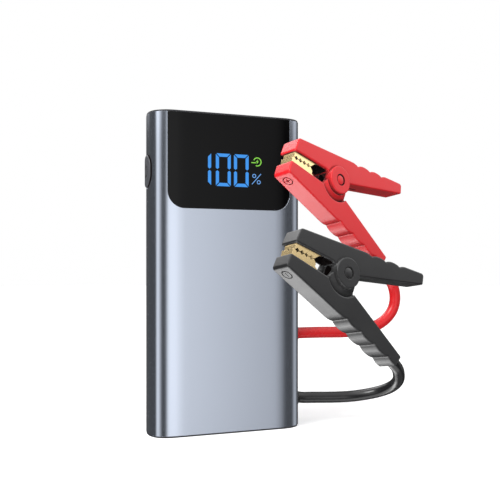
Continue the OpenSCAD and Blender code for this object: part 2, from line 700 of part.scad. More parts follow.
web_x0 = 9;
web_x1 = 20;
module lower_lever() difference() {
  union() {
    bevelled_slab(lower_outline, lever_w, lever_bevel);
    both_sides() upright(ear_outline, spring_room / 2, lower_ear_y);
  }
  // Room for the jaw plate, for the lug between the ears, and for the lead in the handle
  upright([
    [lower_jaw_front - 0.1, 0], [lower_jaw_front - 0.1, lower_web_z - plate_t - 0.05],
    [jaw_back + 0.5, lower_web_z - plate_t - 0.05], [jaw_back + 0.5, 0]
  ], -cavity_y, cavity_y);
  upright([
    [jaw_back - 1, boss_r], [jaw_back - 1, lower_web_z - plate_t - 0.05], [-4, outer_at(-4) + floor_wall + 1],
    [web_x0 + 1, outer_at(web_x0 + 1) + floor_wall], [web_x0 + 1, inner_at(web_x0 + 1) - web_t],
    [web_x0 - 1, inner_at(web_x0 - 1) - web_t], [web_x0 - 1, boss_r]
  ], -spring_room / 2, spring_room / 2);
  upright([
    [web_x0 - 1, outer_at(web_x0 - 1) + floor_wall], [end_wall_x, outer_at(end_wall_x) + floor_wall - 0.9],
    [end_wall_x, inner_at(end_wall_x) + 2], [web_x1, inner_at(web_x1) + 2],
    [web_x1, inner_at(web_x1) - web_t], [web_x0 - 1, inner_at(web_x0 - 1) - web_t]
  ], -cavity_y, cavity_y);
  along_lead() translate([-tail_l, 0, 0]) rotate([0, 90, 0]) cylinder(r = lead_d / 2 + 0.08, h = tail_l + 10);
  translate([jaw_screw_x, 0, lower_web_z - jaw_screw_l - 0.2]) cylinder(r = jaw_screw_r + pin_gap, h = jaw_screw_l + 2);
  rotate([90, 0, 0]) cylinder(r = pin_d / 2 + pin_gap, h = 2 * boss_w, center = true);
}
web_t = 1.5;
floor_wall = 2.4;
end_wall_x = lower_handle_l - 5.5;
ear_r = 7.2;
ear_outline = concat(
  arc([0, 0], ear_r, 0, 180, 16),
  [[-ear_r, -1], [-relief_r + 1.9, -6.4], [-relief_r + 1.9, -relief_r], [web_x0 - 1.2, -relief_r], [web_x0 - 1.2, -8], [ear_r, -1]]
);

// ---- jaw plates

tooth_tip = 0.3;
teeth = 5;
first_tip_x = jaw_front + (teeth - 1) * tooth_pitch;
bite_z = -0.2;
upper_tip_z = bite_z + bite_gap / 2;
lower_tip_z = bite_z - bite_gap / 2;
// The toothed edge, with its tips at z and its notches up or down from them. The last tooth runs out to the front.
function toothed(z, up, front) =
  [for (i = [0:teeth - 1], k = [0:2])
    let (x = first_tip_x - i * tooth_pitch)
    if (k == 0 || i < teeth - 1)
    k == 0 ? [x + tooth_tip, z] : k == 1 ? [x - tooth_tip, z] : [x - tooth_pitch / 2, z + up * tooth_h],
   [front, z]];
front_teeth = 3;
// The same teeth across the front, over the plate's width
function front_toothed(z, up) =
  [for (i = [0:front_teeth - 1], k = [0:2])
    let (step = 2 * jaw_half / front_teeth, y = -jaw_half + (i + 0.5) * step)
    k == 0 ? [y - step / 2, z + up * tooth_h] : k == 1 ? [y - tooth_tip, z] : [y + tooth_tip, z],
   [jaw_half, z + up * tooth_h]];

jaw_screw_x = -26;
jaw_screw_r = 1.1;
jaw_screw_l = 4.5;
jaw_head_r = 2;

module upper_jaw() color(gold) difference() {
  union() {
    both_sides() upright(concat(
      [[jaw_back, upper_web_z + plate_t], [jaw_front, upper_web_z + plate_t]],
      reversed(concat([[jaw_back, throat_z + 0.6], [-18, 2.6]], toothed(upper_tip_z, 1, jaw_front)))
    ), jaw_half - plate_t, jaw_half);
    translate([jaw_front, -jaw_half, upper_web_z]) cube([jaw_back - jaw_front, 2 * jaw_half, plate_t]);
    translate([jaw_front, 0, 0]) rotate([90, 0, 90]) linear_extrude(plate_t)
      polygon(concat([[jaw_half, upper_web_z + plate_t], [-jaw_half, upper_web_z + plate_t]], front_toothed(upper_tip_z, 1)));
  }
  translate([jaw_screw_x, 0, 0]) cylinder(r = jaw_screw_r + pin_gap, h = 10);
}

tail_y = 1.9;
tongue_z = -1.2;
// Where the lug lies on the jaw plate's tail, along the lead
tongue_in = 54;
tongue_out = 47;
function on_lead(along, up) =
  [lead_exit.x - along * cos(lead_slope) + up * sin(lead_slope), lead_exit.z + along * sin(lead_slope) + up * cos(lead_slope)];

module lower_jaw() color(gold) difference() {
  union() {
    both_sides() upright(concat(
      [[jaw_back, lower_web_z - plate_t], [jaw_back, lower_edge_at(jaw_back) - 0.6], [-19.4, -3.7], [-19.2, -2.2]],
      toothed(lower_tip_z, -1, lower_jaw_front), [[lower_jaw_front, lower_web_z - plate_t]]
    ), jaw_half - plate_t, jaw_half);
    translate([lower_jaw_front, -jaw_half, lower_web_z - plate_t])
      cube([jaw_back - lower_jaw_front, 2 * jaw_half, plate_t]);
    translate([lower_jaw_front, 0, 0]) rotate([90, 0, 90]) linear_extrude(plate_t)
      polygon(concat(front_toothed(lower_tip_z, -1), [[jaw_half, lower_web_z - plate_t], [-jaw_half, lower_web_z - plate_t]]));
    upright([
      [jaw_back - 1, lower_web_z - plate_t], on_lead(tongue_in, tongue_z - plate_t), on_lead(tongue_out, tongue_z - plate_t),
      on_lead(tongue_out, tongue_z), on_lead(tongue_in, tongue_z), [jaw_back - 1, lower_web_z]
    ], -tail_y, tail_y);
  }
  translate([jaw_screw_x, 0, -15]) cylinder(r = jaw_screw_r + pin_gap, h = 15);
}

module jaw_screw() difference() {
  union() {
    translate([0, 0, -eps]) cylinder(r = jaw_screw_r, h = jaw_screw_l + eps);
    translate([0, 0, -1]) cylinder(r = jaw_head_r, h = 1);
  }
  translate([0, 0, -1 - eps]) cylinder(r = 0.9, h = 0.6, $fn = 6);
}
module upper_screw() color(steel) translate([jaw_screw_x, 0, upper_web_z]) jaw_screw();
module lower_screw() color(steel) translate([jaw_screw_x, 0, lower_web_z]) rotate([180, 0, 0]) jaw_screw();

// ---- pin, spring, lead tail and lug

module pin() color(steel) rotate([90, 0, 0]) cylinder(d = pin_d, h = boss_w - 2 * cap_seat, center = true);

module pin_caps() both_sides() translate([0, boss_w / 2 - cap_seat + 0.02, 0]) rotate([-90, 0, 0]) rotate_extrude()
  polygon([[0, 0], [cap_r, 0], [cap_r, cap_seat - 0.35], [cap_r - 0.25, cap_seat - 0.1], [0, cap_seat - 0.1]]);

coil_r = coil_d / 2;
leg_l = 23;
coil_steps = 8;
coil_from = 90 + under_slope;
coil_turn = 720 + 180 - under_slope + inner_slope;
leg_y = coil_pitch * coil_turn / 720;
coil_count = round(coil_turn / 360 * coil_steps);
coil_points = [for (i = [0:coil_count])
  let (a = coil_from + coil_turn * i / coil_count)
  [coil_r * cos(a), leg_y * (1 - 2 * i / coil_count), coil_r * sin(a)]];
upper_leg_way = [cos(under_slope), 0, sin(under_slope)];
lower_leg_way = [cos(inner_slope), 0, sin(inner_slope)];
spring_points = [
  coil_points[0] + leg_l * upper_leg_way, each coil_points, coil_points[coil_count] + leg_l * lower_leg_way
];
// Points less than three quarters of a curl apart are neighbours along the wire
least_apart = min([for (i = [0:coil_count], j = [i + 6:1:coil_count]) norm(coil_points[i] - coil_points[j])]);
echo(str("Spring: least gap of the wire to itself ", least_apart - wire_d, " mm"));

module spring() color(steel) tube(spring_points, wire_d / 2, 6, -upper_leg_way, lower_leg_way);

module lead_tail() along_lead() rotate([0, -90, 0]) cylinder(d = lead_d, h = tail_l);

barrel_r = 2.6;
module lug() color(copper) along_lead() {
  translate([-tail_l, 0, 0]) rotate([0, -90, 0]) cylinder(r = barrel_r, h = barrel_l);
  translate([-tongue_in, -tail_y, tongue_z]) cube([tongue_in - tail_l - barrel_l + 1, 2 * tail_y, 1]);
}

module red_upper_lever() placed(red) color(red_plastic) upper_lever();
module red_lower_lever() placed(red) color(red_plastic) lower_lever();
module red_upper_jaw() placed(red) upper_jaw();
module red_lower_jaw() placed(red) lower_jaw();
module red_upper_screw() placed(red) upper_screw();
module red_lower_screw() placed(red) lower_screw();
module red_pin() placed(red) pin();
module red_pin_caps() placed(red) color(red_plastic) pin_caps();
module red_spring() placed(red) spring();
module red_lead_tail() placed(red) color(red_plastic) lead_tail();
module red_lug() placed(red) lug();

module black_upper_lever() placed(black) color(black_plastic) upper_lever();
module black_lower_lever() placed(black) color(black_plastic) lower_lever();
module black_upper_jaw() placed(black) upper_jaw();
module black_lower_jaw() placed(black) lower_jaw();
module black_upper_screw() placed(black) upper_screw();
module black_lower_screw() placed(black) lower_screw();
module black_pin() placed(black) pin();
module black_pin_caps() placed(black) color(black_plastic) pin_caps();
module black_spring() placed(black) spring();
module black_lead_tail() placed(black) color(black_plastic) lead_tail();
module black_lug() placed(black) lug();

echo(red_pivot = lead_end(red) - turned(red[2], lead_exit), red_axis = turned(red[2], [0, 1, 0]));
echo(black_pivot = lead_end(black) - turned(black[2], lead_exit), black_axis = turned(black[2], [0, 1, 0]));

sleeve();
top_cap();
bottom_cap();
cap_screws();
display_window();
display_board();
button_bezel();
power_button();
button_switch();
chassis();
foam_pad();
cell_front();
cell_middle();
cell_rear();
cell_tabs();
main_board();
capacitors();
transistors();
lead_terminals();
usb_a_shell();
usb_a_tongue();
usb_c_shell();
usb_c_tongue();
lamp_lens();
lamp_led();
red_gland();
black_gland();
red_inner_lead();
black_inner_lead();
red_cord();
black_cord();
red_upper_lever();
red_lower_lever();
red_upper_jaw();
red_lower_jaw();
red_upper_screw();
red_lower_screw();
red_pin();
red_pin_caps();
red_spring();
red_lead_tail();
red_lug();
black_upper_lever();
black_lower_lever();
black_upper_jaw();
black_lower_jaw();
black_upper_screw();
black_lower_screw();
black_pin();
black_pin_caps();
black_spring();
black_lead_tail();
black_lug();
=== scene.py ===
import json
import math
import bmesh
import bpy
from mathutils import Euler, Matrix, Vector

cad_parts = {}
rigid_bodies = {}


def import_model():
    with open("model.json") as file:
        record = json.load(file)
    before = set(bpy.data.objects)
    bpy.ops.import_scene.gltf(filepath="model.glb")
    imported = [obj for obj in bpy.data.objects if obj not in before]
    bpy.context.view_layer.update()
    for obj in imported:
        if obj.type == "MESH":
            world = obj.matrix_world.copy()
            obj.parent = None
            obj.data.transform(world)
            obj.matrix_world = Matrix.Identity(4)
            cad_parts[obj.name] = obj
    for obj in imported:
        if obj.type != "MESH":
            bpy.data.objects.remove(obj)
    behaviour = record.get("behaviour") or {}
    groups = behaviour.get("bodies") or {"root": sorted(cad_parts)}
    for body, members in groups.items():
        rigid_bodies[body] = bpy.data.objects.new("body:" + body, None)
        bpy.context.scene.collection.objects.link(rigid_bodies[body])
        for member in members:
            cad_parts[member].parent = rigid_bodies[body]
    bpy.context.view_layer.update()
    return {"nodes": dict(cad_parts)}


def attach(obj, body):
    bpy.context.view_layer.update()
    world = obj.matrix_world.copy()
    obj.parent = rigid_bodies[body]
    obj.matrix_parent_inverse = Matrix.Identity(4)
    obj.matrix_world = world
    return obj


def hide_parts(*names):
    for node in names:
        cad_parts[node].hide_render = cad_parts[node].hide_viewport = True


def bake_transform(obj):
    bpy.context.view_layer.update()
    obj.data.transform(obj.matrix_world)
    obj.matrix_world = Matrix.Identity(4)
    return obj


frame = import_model()
nodes = frame["nodes"]
mm = 0.001
colours = ("red", "black")

# The camera, with a little lift so that the pack stands upright in the picture
camera = {
    "place": (-0.1157, -0.3689, 0.0893), "turn": -19.58, "lens": 50, "lift": 0.0349, "sensor": 36, "near": 0.01,
}
cameraData = bpy.data.cameras.new("camera")
cameraData.lens = camera["lens"]
cameraData.sensor_width = camera["sensor"]
cameraData.shift_y = camera["lift"]
cameraData.clip_start = camera["near"]
cameraObject = bpy.data.objects.new("camera", cameraData)
cameraObject.location = camera["place"]
cameraObject.rotation_euler = Euler((math.radians(90), 0, math.radians(camera["turn"])))
bpy.context.collection.objects.link(cameraObject)
bpy.context.scene.camera = cameraObject


# Outlines and meshes: sizes are in millimetres until they become a mesh
def arc(centre, radius, start, end, steps):
    angles = [math.radians(start + (end - start) * i / steps) for i in range(steps + 1)]
    return [(centre[0] + radius * math.cos(a), centre[1] + radius * math.sin(a)) for a in angles]


def circle(radius, steps, centre=(0, 0)):
    return arc(centre, radius, 0, 360, steps)[:-1]


def rectangle(x, y):
    return [(x[0], y[0]), (x[1], y[0]), (x[1], y[1]), (x[0], y[1])]


def inRadians(*angles):
    return [math.radians(a) for a in angles]


# Steps of a rounded rim, from its side to its face: how far in from the side, and how far down from the face
def rimSteps(rim, angles):
    return [(rim * (1 - math.cos(a)), rim * (1 - math.sin(a))) for a in angles]


# An outline from corners of (x, y, radius), with an arc at each one whose radius isn't 0
def rounded(corners, steps=6):
    line = []
    count = len(corners)
    for i, (x, y, radius) in enumerate(corners):
        here = Vector((x, y))
        if radius == 0:
            line.append((x, y))
            continue
        before = (Vector(corners[i - 1][:2]) - here).normalized()
        after = (Vector(corners[(i + 1) % count][:2]) - here).normalized()
        half = before.angle(after) / 2
        centre = here + (before + after).normalized() * radius / math.sin(half)
        start = here + before * radius / math.tan(half) - centre
        end = here + after * radius / math.tan(half) - centre
        first = math.degrees(math.atan2(start.y, start.x))
        turn = (math.degrees(math.atan2(end.y, end.x)) - first + 540) % 360 - 180
        line += arc(centre, radius, first, first + turn, steps)
    return line


# A smooth curve through the points, with so many steps between each two
def curveThrough(points, steps):
    line = []
    ends = [2 * points[0] - points[1]] + list(points) + [2 * points[-1] - points[-2]]
    for i in range(1, len(ends) - 2):
        a, b, c, d = ends[i - 1:i + 3]
        for k in range(steps):
            t = k / steps
            line.append(0.5 * (2 * b + (c - a) * t + (2 * a - 5 * b + 4 * c - d) * t * t
                               + (3 * b - a - 3 * c + d) * t * t * t))
    return line + [points[-1]]


# The outline moved inwards by an amount, with sharp tips held back
tipLimit = 0.35


def drawnIn(outline, amount):
    count = len(outline)
    area = sum(outline[i - 1][0] * outline[i][1] - outline[i][0] * outline[i - 1][1] for i in range(count))
    way = 1 if area > 0 else -1
    line = []
    for i in range(count):
        before = (Vector(outline[i]) - Vector(outline[i - 1])).normalized()
        after = (Vector(outline[(i + 1) % count]) - Vector(outline[i])).normalized()
        a, b = Vector((-before.y, before.x)), Vector((-after.y, after.x))
        move = (a + b) * way * amount / max(tipLimit, 1 + a.dot(b))
        line.append((outline[i][0] + move.x, outline[i][1] + move.y))
    return line


# Points closer than this, in metres, become one
weld = 1e-7


def meshFrom(name, points, faces):
    mesh = bpy.data.meshes.new(name)
    mesh.from_pydata([tuple(v * mm for v in p) for p in points], [], faces)
    build = bmesh.new()
    build.from_mesh(mesh)
    bmesh.ops.remove_doubles(build, verts=build.verts, dist=weld)
    bmesh.ops.recalc_face_normals(build, faces=build.faces)
    build.to_mesh(mesh)
    build.free()
    return mesh


def pieceFrom(name, mesh):
    piece = bpy.data.objects.new(name, mesh)
    bpy.context.collection.objects.link(piece)
    return piece


def along(axis, u, v, w):
    return {"x": (w, u, v), "y": (u, w, v), "z": (u, v, w)}[axis]


# End faces and side faces between rings of as many points each
def ringFaces(rings, count):
    ends = [tuple(range(count)), tuple(range((rings - 1) * count, rings * count))]
    sides = [(k + i, k + (i + 1) % count, k + count + (i + 1) % count, k + count + i)
             for k in range(0, (rings - 1) * count, count) for i in range(count)]
    return ends, sides


# A stack of outlines with as many points each, along an axis
def stack(name, levels, axis):
    points = [along(axis, u, v, w) for outline, w in levels for u, v in outline]
    ends, sides = ringFaces(len(levels), len(levels[0][0]))
    return pieceFrom(name, meshFrom(name, points, ends + sides))


def prism(name, outline, low, high, axis):
    return stack(name, [(outline, low), (outline, high)], axis)


# A prism whose two rims are rounded
def softPrism(name, outline, low, high, axis, rim):
    levels = [(drawnIn(outline, inward), low + up) for up, inward in rimSteps(rim, inRadians(0, 30, 60, 90))]
    levels += [(line, low + high - w) for line, w in reversed(levels)]
    return stack(name, levels, axis)


# A turned piece about Y, from (radius, place along Y) points
def turnedPiece(name, profile, steps):
    return stack(name, [([(u * r, v * r) for u, v in circle(1, steps)], w) for r, w in profile], "y")


# A round tube along a path of points, with its ends square to the given directions
def tube(name, path, radius, around, startWay, endWay):
    ways = [(path[min(i + 1, len(path) - 1)] - path[max(i - 1, 0)]).normalized() for i in range(len(path))]
    ways[0], ways[-1] = startWay, endWay
    steep = abs(startWay.z) > 0.9
    up = Vector((0, 1, 0)) if steep else Vector((0, 0, 1))
    points = []
    for place, way in zip(path, ways):
        up = (up - up.dot(way) * way).normalized()
        side = way.cross(up)
        for k in range(around):
            a = 2 * math.pi * k / around
            points.append(place + radius * (math.cos(a) * up + math.sin(a) * side))
    ends, sides = ringFaces(len(path), around)
    return pieceFrom(name, meshFrom(name, points, sides + ends))


# Applies a piece's modifiers to its mesh
def settle(piece):
    ready = bpy.data.meshes.new_from_object(piece.evaluated_get(bpy.context.evaluated_depsgraph_get()))
    old = piece.data
    piece.modifiers.clear()
    piece.data = ready
    bpy.data.meshes.remove(old)


def combine(piece, others, how="DIFFERENCE"):
    for other in others:
        step = piece.modifiers.new("join", "BOOLEAN")
        step.operation = how
        step.solver = "EXACT"
        step.object = other
    settle(piece)
    for other in others:
        bpy.data.objects.remove(other)
    return piece


def smooth(piece, angle, flatFaces=True):
    piece.data.shade_smooth()
    piece.data.set_sharp_from_angle(angle=math.radians(angle))
    if flatFaces:
        normals = piece.modifiers.new("normals", "WEIGHTED_NORMAL")
        normals.keep_sharp = True
        normals.weight = 100


# Shader groups, and what is the same in all of them
texture = {
    "fine": {"Detail": 2.0, "Roughness": 0.6}, "wide": {"Detail": 3.0, "Roughness": 0.5},
    "wearAndHighlightSamples": 4, "wearAndHighlightGain": 5.0, "wearAndHighlightNoise": {"Scale": 420.0, "Detail": 2.0},
    "paintedShadeSamples": 16, "paintedShadeGain": 2.4, "paintedShadeStart": 0.45, "wornAndLitLift": 1.7, "relief": 0.0002,
}


def newGroup(name, inputs, outputs):
    group = bpy.data.node_groups.new(name, "ShaderNodeTree")
    for label, value in inputs.items():
        kind = "NodeSocketColor" if isinstance(value, tuple) else "NodeSocketFloat"
        socket = group.interface.new_socket(label, in_out="INPUT", socket_type=kind)
        socket.default_value = value
    for label, kind in outputs.items():
        group.interface.new_socket(label, in_out="OUTPUT", socket_type=kind)
    return group, group.nodes.new("NodeGroupInput"), group.nodes.new("NodeGroupOutput")


def addNode(tree, kind, settings=None, **values):
    node = tree.nodes.new("ShaderNode" + kind)
    for label, value in (settings or {}).items():
        setattr(node, label, value)
    for label, value in values.items():
        socket = node.inputs[int(label[1:])] if label[0] == "_" else node.inputs[label]
        if isinstance(value, bpy.types.NodeSocket):
            tree.links.new(value, socket)
        else:
            socket.default_value = value
    return node


def mathNode(tree, operation, a, b=0.0, clamp=False):
    return addNode(tree, "Math", {"operation": operation, "use_clamp": clamp}, _0=a, _1=b).outputs[0]


def mixColour(tree, share, first, second):
    return addNode(tree, "Mix", {"data_type": "RGBA"}, _0=share, _6=first, _7=second).outputs[2]


def mixLevel(tree, share, first, second):
    return addNode(tree, "Mix", {"data_type": "FLOAT"}, _0=share, _2=first, _3=second).outputs[0]


def spread(tree, value, low, high, first=0.0, last=1.0, kind="LINEAR"):
    node = addNode(tree, "MapRange", {"interpolation_type": kind}, Value=value)
    for label, level in (("From Min", low), ("From Max", high), ("To Min", first), ("To Max", last)):
        node.inputs[label].default_value = level
    return node.outputs[0]


def useGroup(tree, group, **values):
    node = tree.nodes.new("ShaderNodeGroup")
    node.node_tree = group
    for label, value in values.items():
        node.inputs[label].default_value = value
    return node.outputs


# Fine grain: a height for a bump, and a shade from 0 to 1 that wanders over the surface
def makeGrainGroup():
    group, source, result = newGroup(
        "surfaceGrain", {"Size": 0.3, "Coarse": 12.0},
        {"Height": "NodeSocketFloat", "Shade": "NodeSocketFloat"})
    place = addNode(group, "TexCoord").outputs["Object"]
    for size, kind, output in (("Size", "fine", "Height"), ("Coarse", "wide", "Shade")):
        scale = mathNode(group, "DIVIDE", 1 / mm, source.outputs[size])
        noise = addNode(group, "TexNoise", Vector=place, Scale=scale, **texture[kind])
        group.links.new(noise.outputs["Fac"], result.inputs[output])
    return group


# Worn and lit edges: a mask that is 1 where two faces meet in a sharp outer edge, broken up by noise. The finishes
# paint these edges lighter, partly as wear and partly as a painted highlight.
def makeWearAndHighlightGroup():
    group, source, result = newGroup(
        "edgeWearAndHighlight", {"Radius": 0.4, "Amount": 0.5}, {"Mask": "NodeSocketFloat", "Normal": "NodeSocketVector"})
    radius = mathNode(group, "MULTIPLY", source.outputs["Radius"], mm)
    soft = addNode(group, "Bevel", {"samples": texture["wearAndHighlightSamples"]}, Radius=radius).outputs["Normal"]
    true = addNode(group, "NewGeometry").outputs["Normal"]
    same = addNode(group, "VectorMath", {"operation": "DOT_PRODUCT"}, _0=soft, _1=true).outputs["Value"]
    edge = mathNode(group, "MULTIPLY", mathNode(group, "SUBTRACT", 1.0, same), texture["wearAndHighlightGain"], True)
    place = addNode(group, "TexCoord").outputs["Object"]
    broken = addNode(group, "TexNoise", Vector=place, **texture["wearAndHighlightNoise"]).outputs["Fac"]
    mask = mathNode(group, "MULTIPLY", mathNode(group, "MULTIPLY", edge, broken), source.outputs["Amount"])
    group.links.new(mask, result.inputs["Mask"])
    group.links.new(soft, result.inputs["Normal"])
    return group


# Painted shade in crevices: a light level of 1 in the open, less where other surfaces stand close, by which the
# finishes darken their colour
def makePaintedCreviceShadeGroup():
    group, source, result = newGroup("paintedCreviceShade", {"Reach": 3.0, "Depth": 0.7}, {"Light": "NodeSocketFloat"})
    reach = mathNode(group, "MULTIPLY", source.outputs["Reach"], mm)
    near = addNode(group, "AmbientOcclusion", {"samples": texture["paintedShadeSamples"]}, Distance=reach).outputs["AO"]
    hidden = mathNode(group, "MULTIPLY", mathNode(group, "SUBTRACT", 1.0, near), texture["paintedShadeGain"])
    lost = mathNode(group, "SUBTRACT", hidden, texture["paintedShadeStart"], True)
    lost = mathNode(group, "MULTIPLY", lost, source.outputs["Depth"])
    group.links.new(mathNode(group, "SUBTRACT", 1.0, lost, True), result.inputs["Light"])
    return group


grainGroup = makeGrainGroup()
wearAndHighlightGroup = makeWearAndHighlightGroup()
paintedCreviceShadeGroup = makePaintedCreviceShadeGroup()


def shade(base, factor):
    return tuple(min(1.0, c * factor) for c in base) + (1.0,)


def newMaterial(name, sockets):
    material = bpy.data.materials.new(name)
    material.use_nodes = True
    shader = material.node_tree.nodes["Principled BSDF"].inputs
    for label, value in sockets.items():
        shader[label].default_value = value
    return material, material.node_tree, shader


# A moulded or metal finish with grain, a wandering shade, edges painted lighter (partly wear, partly painted highlight)
# and, where crevice shade is set, painted shade darkening its crevices
def makeFinish(name, colour, roughness, metallic=0.0, grain=0.3, bump=0.05, drift=0.12, wander=12.0,
               wearAndHighlight=0.3, wornAndLitColour=None, edge=0.35, roughDrift=0.08, paintedCreviceShade=None, sockets=None):
    material, tree, shader = newMaterial(name, {"Metallic": metallic, **(sockets or {})})
    surface = useGroup(tree, grainGroup, Size=grain, Coarse=wander)
    wornAndLit = useGroup(tree, wearAndHighlightGroup, Radius=edge, Amount=wearAndHighlight)
    skin = mixColour(tree, surface["Shade"], shade(colour, 1 - drift), shade(colour, 1 + drift))
    # Sharp edges take a lighter colour: partly wear, partly a painted highlight
    wornAndLitEdge = shade(wornAndLitColour, 1) if wornAndLitColour else shade(colour, texture["wornAndLitLift"])
    skin = mixColour(tree, wornAndLit["Mask"], skin, wornAndLitEdge)
    dull = spread(tree, surface["Shade"], 0, 1, roughness - roughDrift, roughness + roughDrift)
    # Painted shade: the colour darkens in crevices and recesses where other surfaces stand close
    if paintedCreviceShade:
        light = useGroup(tree, paintedCreviceShadeGroup, Reach=paintedCreviceShade[0], Depth=paintedCreviceShade[1])["Light"]
        skin = addNode(tree, "VectorMath", {"operation": "SCALE"}, _0=skin, Scale=light).outputs[0]
        dull = mathNode(tree, "ADD", dull, mathNode(tree, "SUBTRACT", 1.0, light), True)
    relief = addNode(tree, "Bump", Strength=bump, Distance=texture["relief"], Height=surface["Height"],
                     Normal=wornAndLit["Normal"])
    tree.links.new(skin, shader["Base Color"])
    tree.links.new(dull, shader["Roughness"])
    tree.links.new(relief.outputs["Normal"], shader["Normal"])
    return material


# The light edge colours and lifts below paint highlights on edges as well as wear; the crevice shade settings paint
# shade into the crevices of the gilt jaws and the clamp plastics
finishes = {
    "anodised": dict(colour=(0.54, 0.59, 0.69), roughness=0.17, metallic=1.0, grain=0.22, bump=0.03, drift=0.015,
                     wander=40, wearAndHighlight=0.0, edge=0.1, roughDrift=0.02),
    "cap_plastic": dict(colour=(0.018, 0.019, 0.023), roughness=0.42, grain=0.35, bump=0.12, edge=0.2),
    "window": dict(colour=(0.0012, 0.0012, 0.0015), roughness=0.09, grain=3, bump=0.0, drift=0.0, wearAndHighlight=0.1, edge=0.15,
                   roughDrift=0.02, sockets={"Specular IOR Level": 0.16}),
    "button_plastic": dict(colour=(0.058, 0.06, 0.068), roughness=0.38, grain=0.3, bump=0.1, edge=0.3),
    "board": dict(colour=(0.01, 0.11, 0.045), roughness=0.45, grain=1.2, bump=0.2, drift=0.35, wander=3),
    "frame_plastic": dict(colour=(0.7, 0.7, 0.67), roughness=0.5, bump=0.08),
    "foam": dict(colour=(0.03, 0.03, 0.032), roughness=0.95, grain=0.7, bump=0.9, drift=0.3, wander=2),
    "cell_foil": dict(colour=(0.55, 0.56, 0.58), roughness=0.34, metallic=0.9, grain=2.2, bump=0.25, drift=0.08),
    "copper": dict(colour=(0.72, 0.34, 0.18), roughness=0.32, metallic=1.0, grain=0.5, bump=0.08),
    "can": dict(colour=(0.04, 0.05, 0.09), roughness=0.35, grain=0.8, bump=0.05),
    "gilt": dict(colour=(0.95, 0.72, 0.37), roughness=0.24, metallic=1.0, grain=1.2, bump=0.015, drift=0.04,
                 wearAndHighlight=0.4, wornAndLitColour=(1.0, 0.9, 0.7), edge=0.15, roughDrift=0.05, paintedCreviceShade=(8.0, 1.0)),
    "steel": dict(colour=(0.62, 0.63, 0.65), roughness=0.26, metallic=1.0, grain=0.4, bump=0.05, drift=0.05),
    "spring_steel": dict(colour=(0.02, 0.02, 0.022), roughness=0.3, metallic=1.0, grain=0.4, bump=0.05, drift=0.1),
    "tongue_plastic": dict(colour=(0.02, 0.02, 0.024), roughness=0.4),
    "lens": dict(colour=(0.9, 0.92, 0.95), roughness=0.06, drift=0.0, bump=0.0, wearAndHighlight=0.0, roughDrift=0.02,
                 sockets={"Transmission Weight": 0.9, "IOR": 1.49}),
    "led": dict(colour=(0.9, 0.82, 0.3), roughness=0.5, drift=0.05),
    "sign_grey": dict(colour=(0.008, 0.008, 0.009), roughness=0.6, grain=0.3, bump=0.05, wearAndHighlight=0.0),
    "red_silicone": dict(colour=(0.68, 0.008, 0.012), roughness=0.27, grain=0.6, bump=0.05, drift=0.06, wearAndHighlight=0.0,
                         sockets={"Sheen Weight": 0.05, "Subsurface Weight": 0.05, "Subsurface Scale": 0.001}),
    "black_silicone": dict(colour=(0.010, 0.010, 0.011), roughness=0.24, grain=0.6, bump=0.05, wearAndHighlight=0.0),
    # A near-black, dull finish that stands in for deep shade: painted shade in hollows, gaps and the throat
    "painted_shade": dict(colour=(0.005, 0.003, 0.003), roughness=0.9, bump=0.2, wearAndHighlight=0.0, roughDrift=0.05,
                   sockets={"Specular IOR Level": 0.05}),
    "red_plastic": dict(colour=(0.74, 0.010, 0.016), roughness=0.33, grain=0.28, bump=0.12, drift=0.04, wander=18,
                        wearAndHighlight=0.3, wornAndLitColour=(0.9, 0.25, 0.25), edge=0.4, paintedCreviceShade=(14.0, 0.95)),
    "black_plastic": dict(colour=(0.013, 0.013, 0.014), roughness=0.34, grain=0.28, bump=0.14, drift=0.1,
                          wander=18, wearAndHighlight=0.5, wornAndLitColour=(0.16, 0.16, 0.165), edge=0.4, paintedCreviceShade=(14.0, 0.95),
                          sockets={"Specular IOR Level": 0.56}),
}
materials = {name: makeFinish(name, **look) for name, look in finishes.items()}


def glow(name, colour, strength):
    material, tree, shader = newMaterial(
        name, {"Base Color": (0, 0, 0, 1), "Emission Strength": strength, "Roughness": 0.3})
    surface = useGroup(tree, grainGroup, Coarse=2.5)
    light = mixColour(tree, surface["Shade"], shade(colour, 0.85), shade(colour, 1.1))
    tree.links.new(light, shader["Emission Color"])
    return material


glowBlue = glow("glowBlue", (0.035, 0.30, 0.86), 1.0)
glowPale = glow("glowPale", (0.16, 0.42, 0.95), 0.9)
glowGreen = glow("glowGreen", (0.28, 0.80, 0.07), 0.9)


def dress(piece, finish, body, replaced=()):
    piece.data.materials.clear()
    piece.data.materials.append(materials[finish] if isinstance(finish, str) else finish)
    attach(piece, body)
    if replaced:
        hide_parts(*replaced)


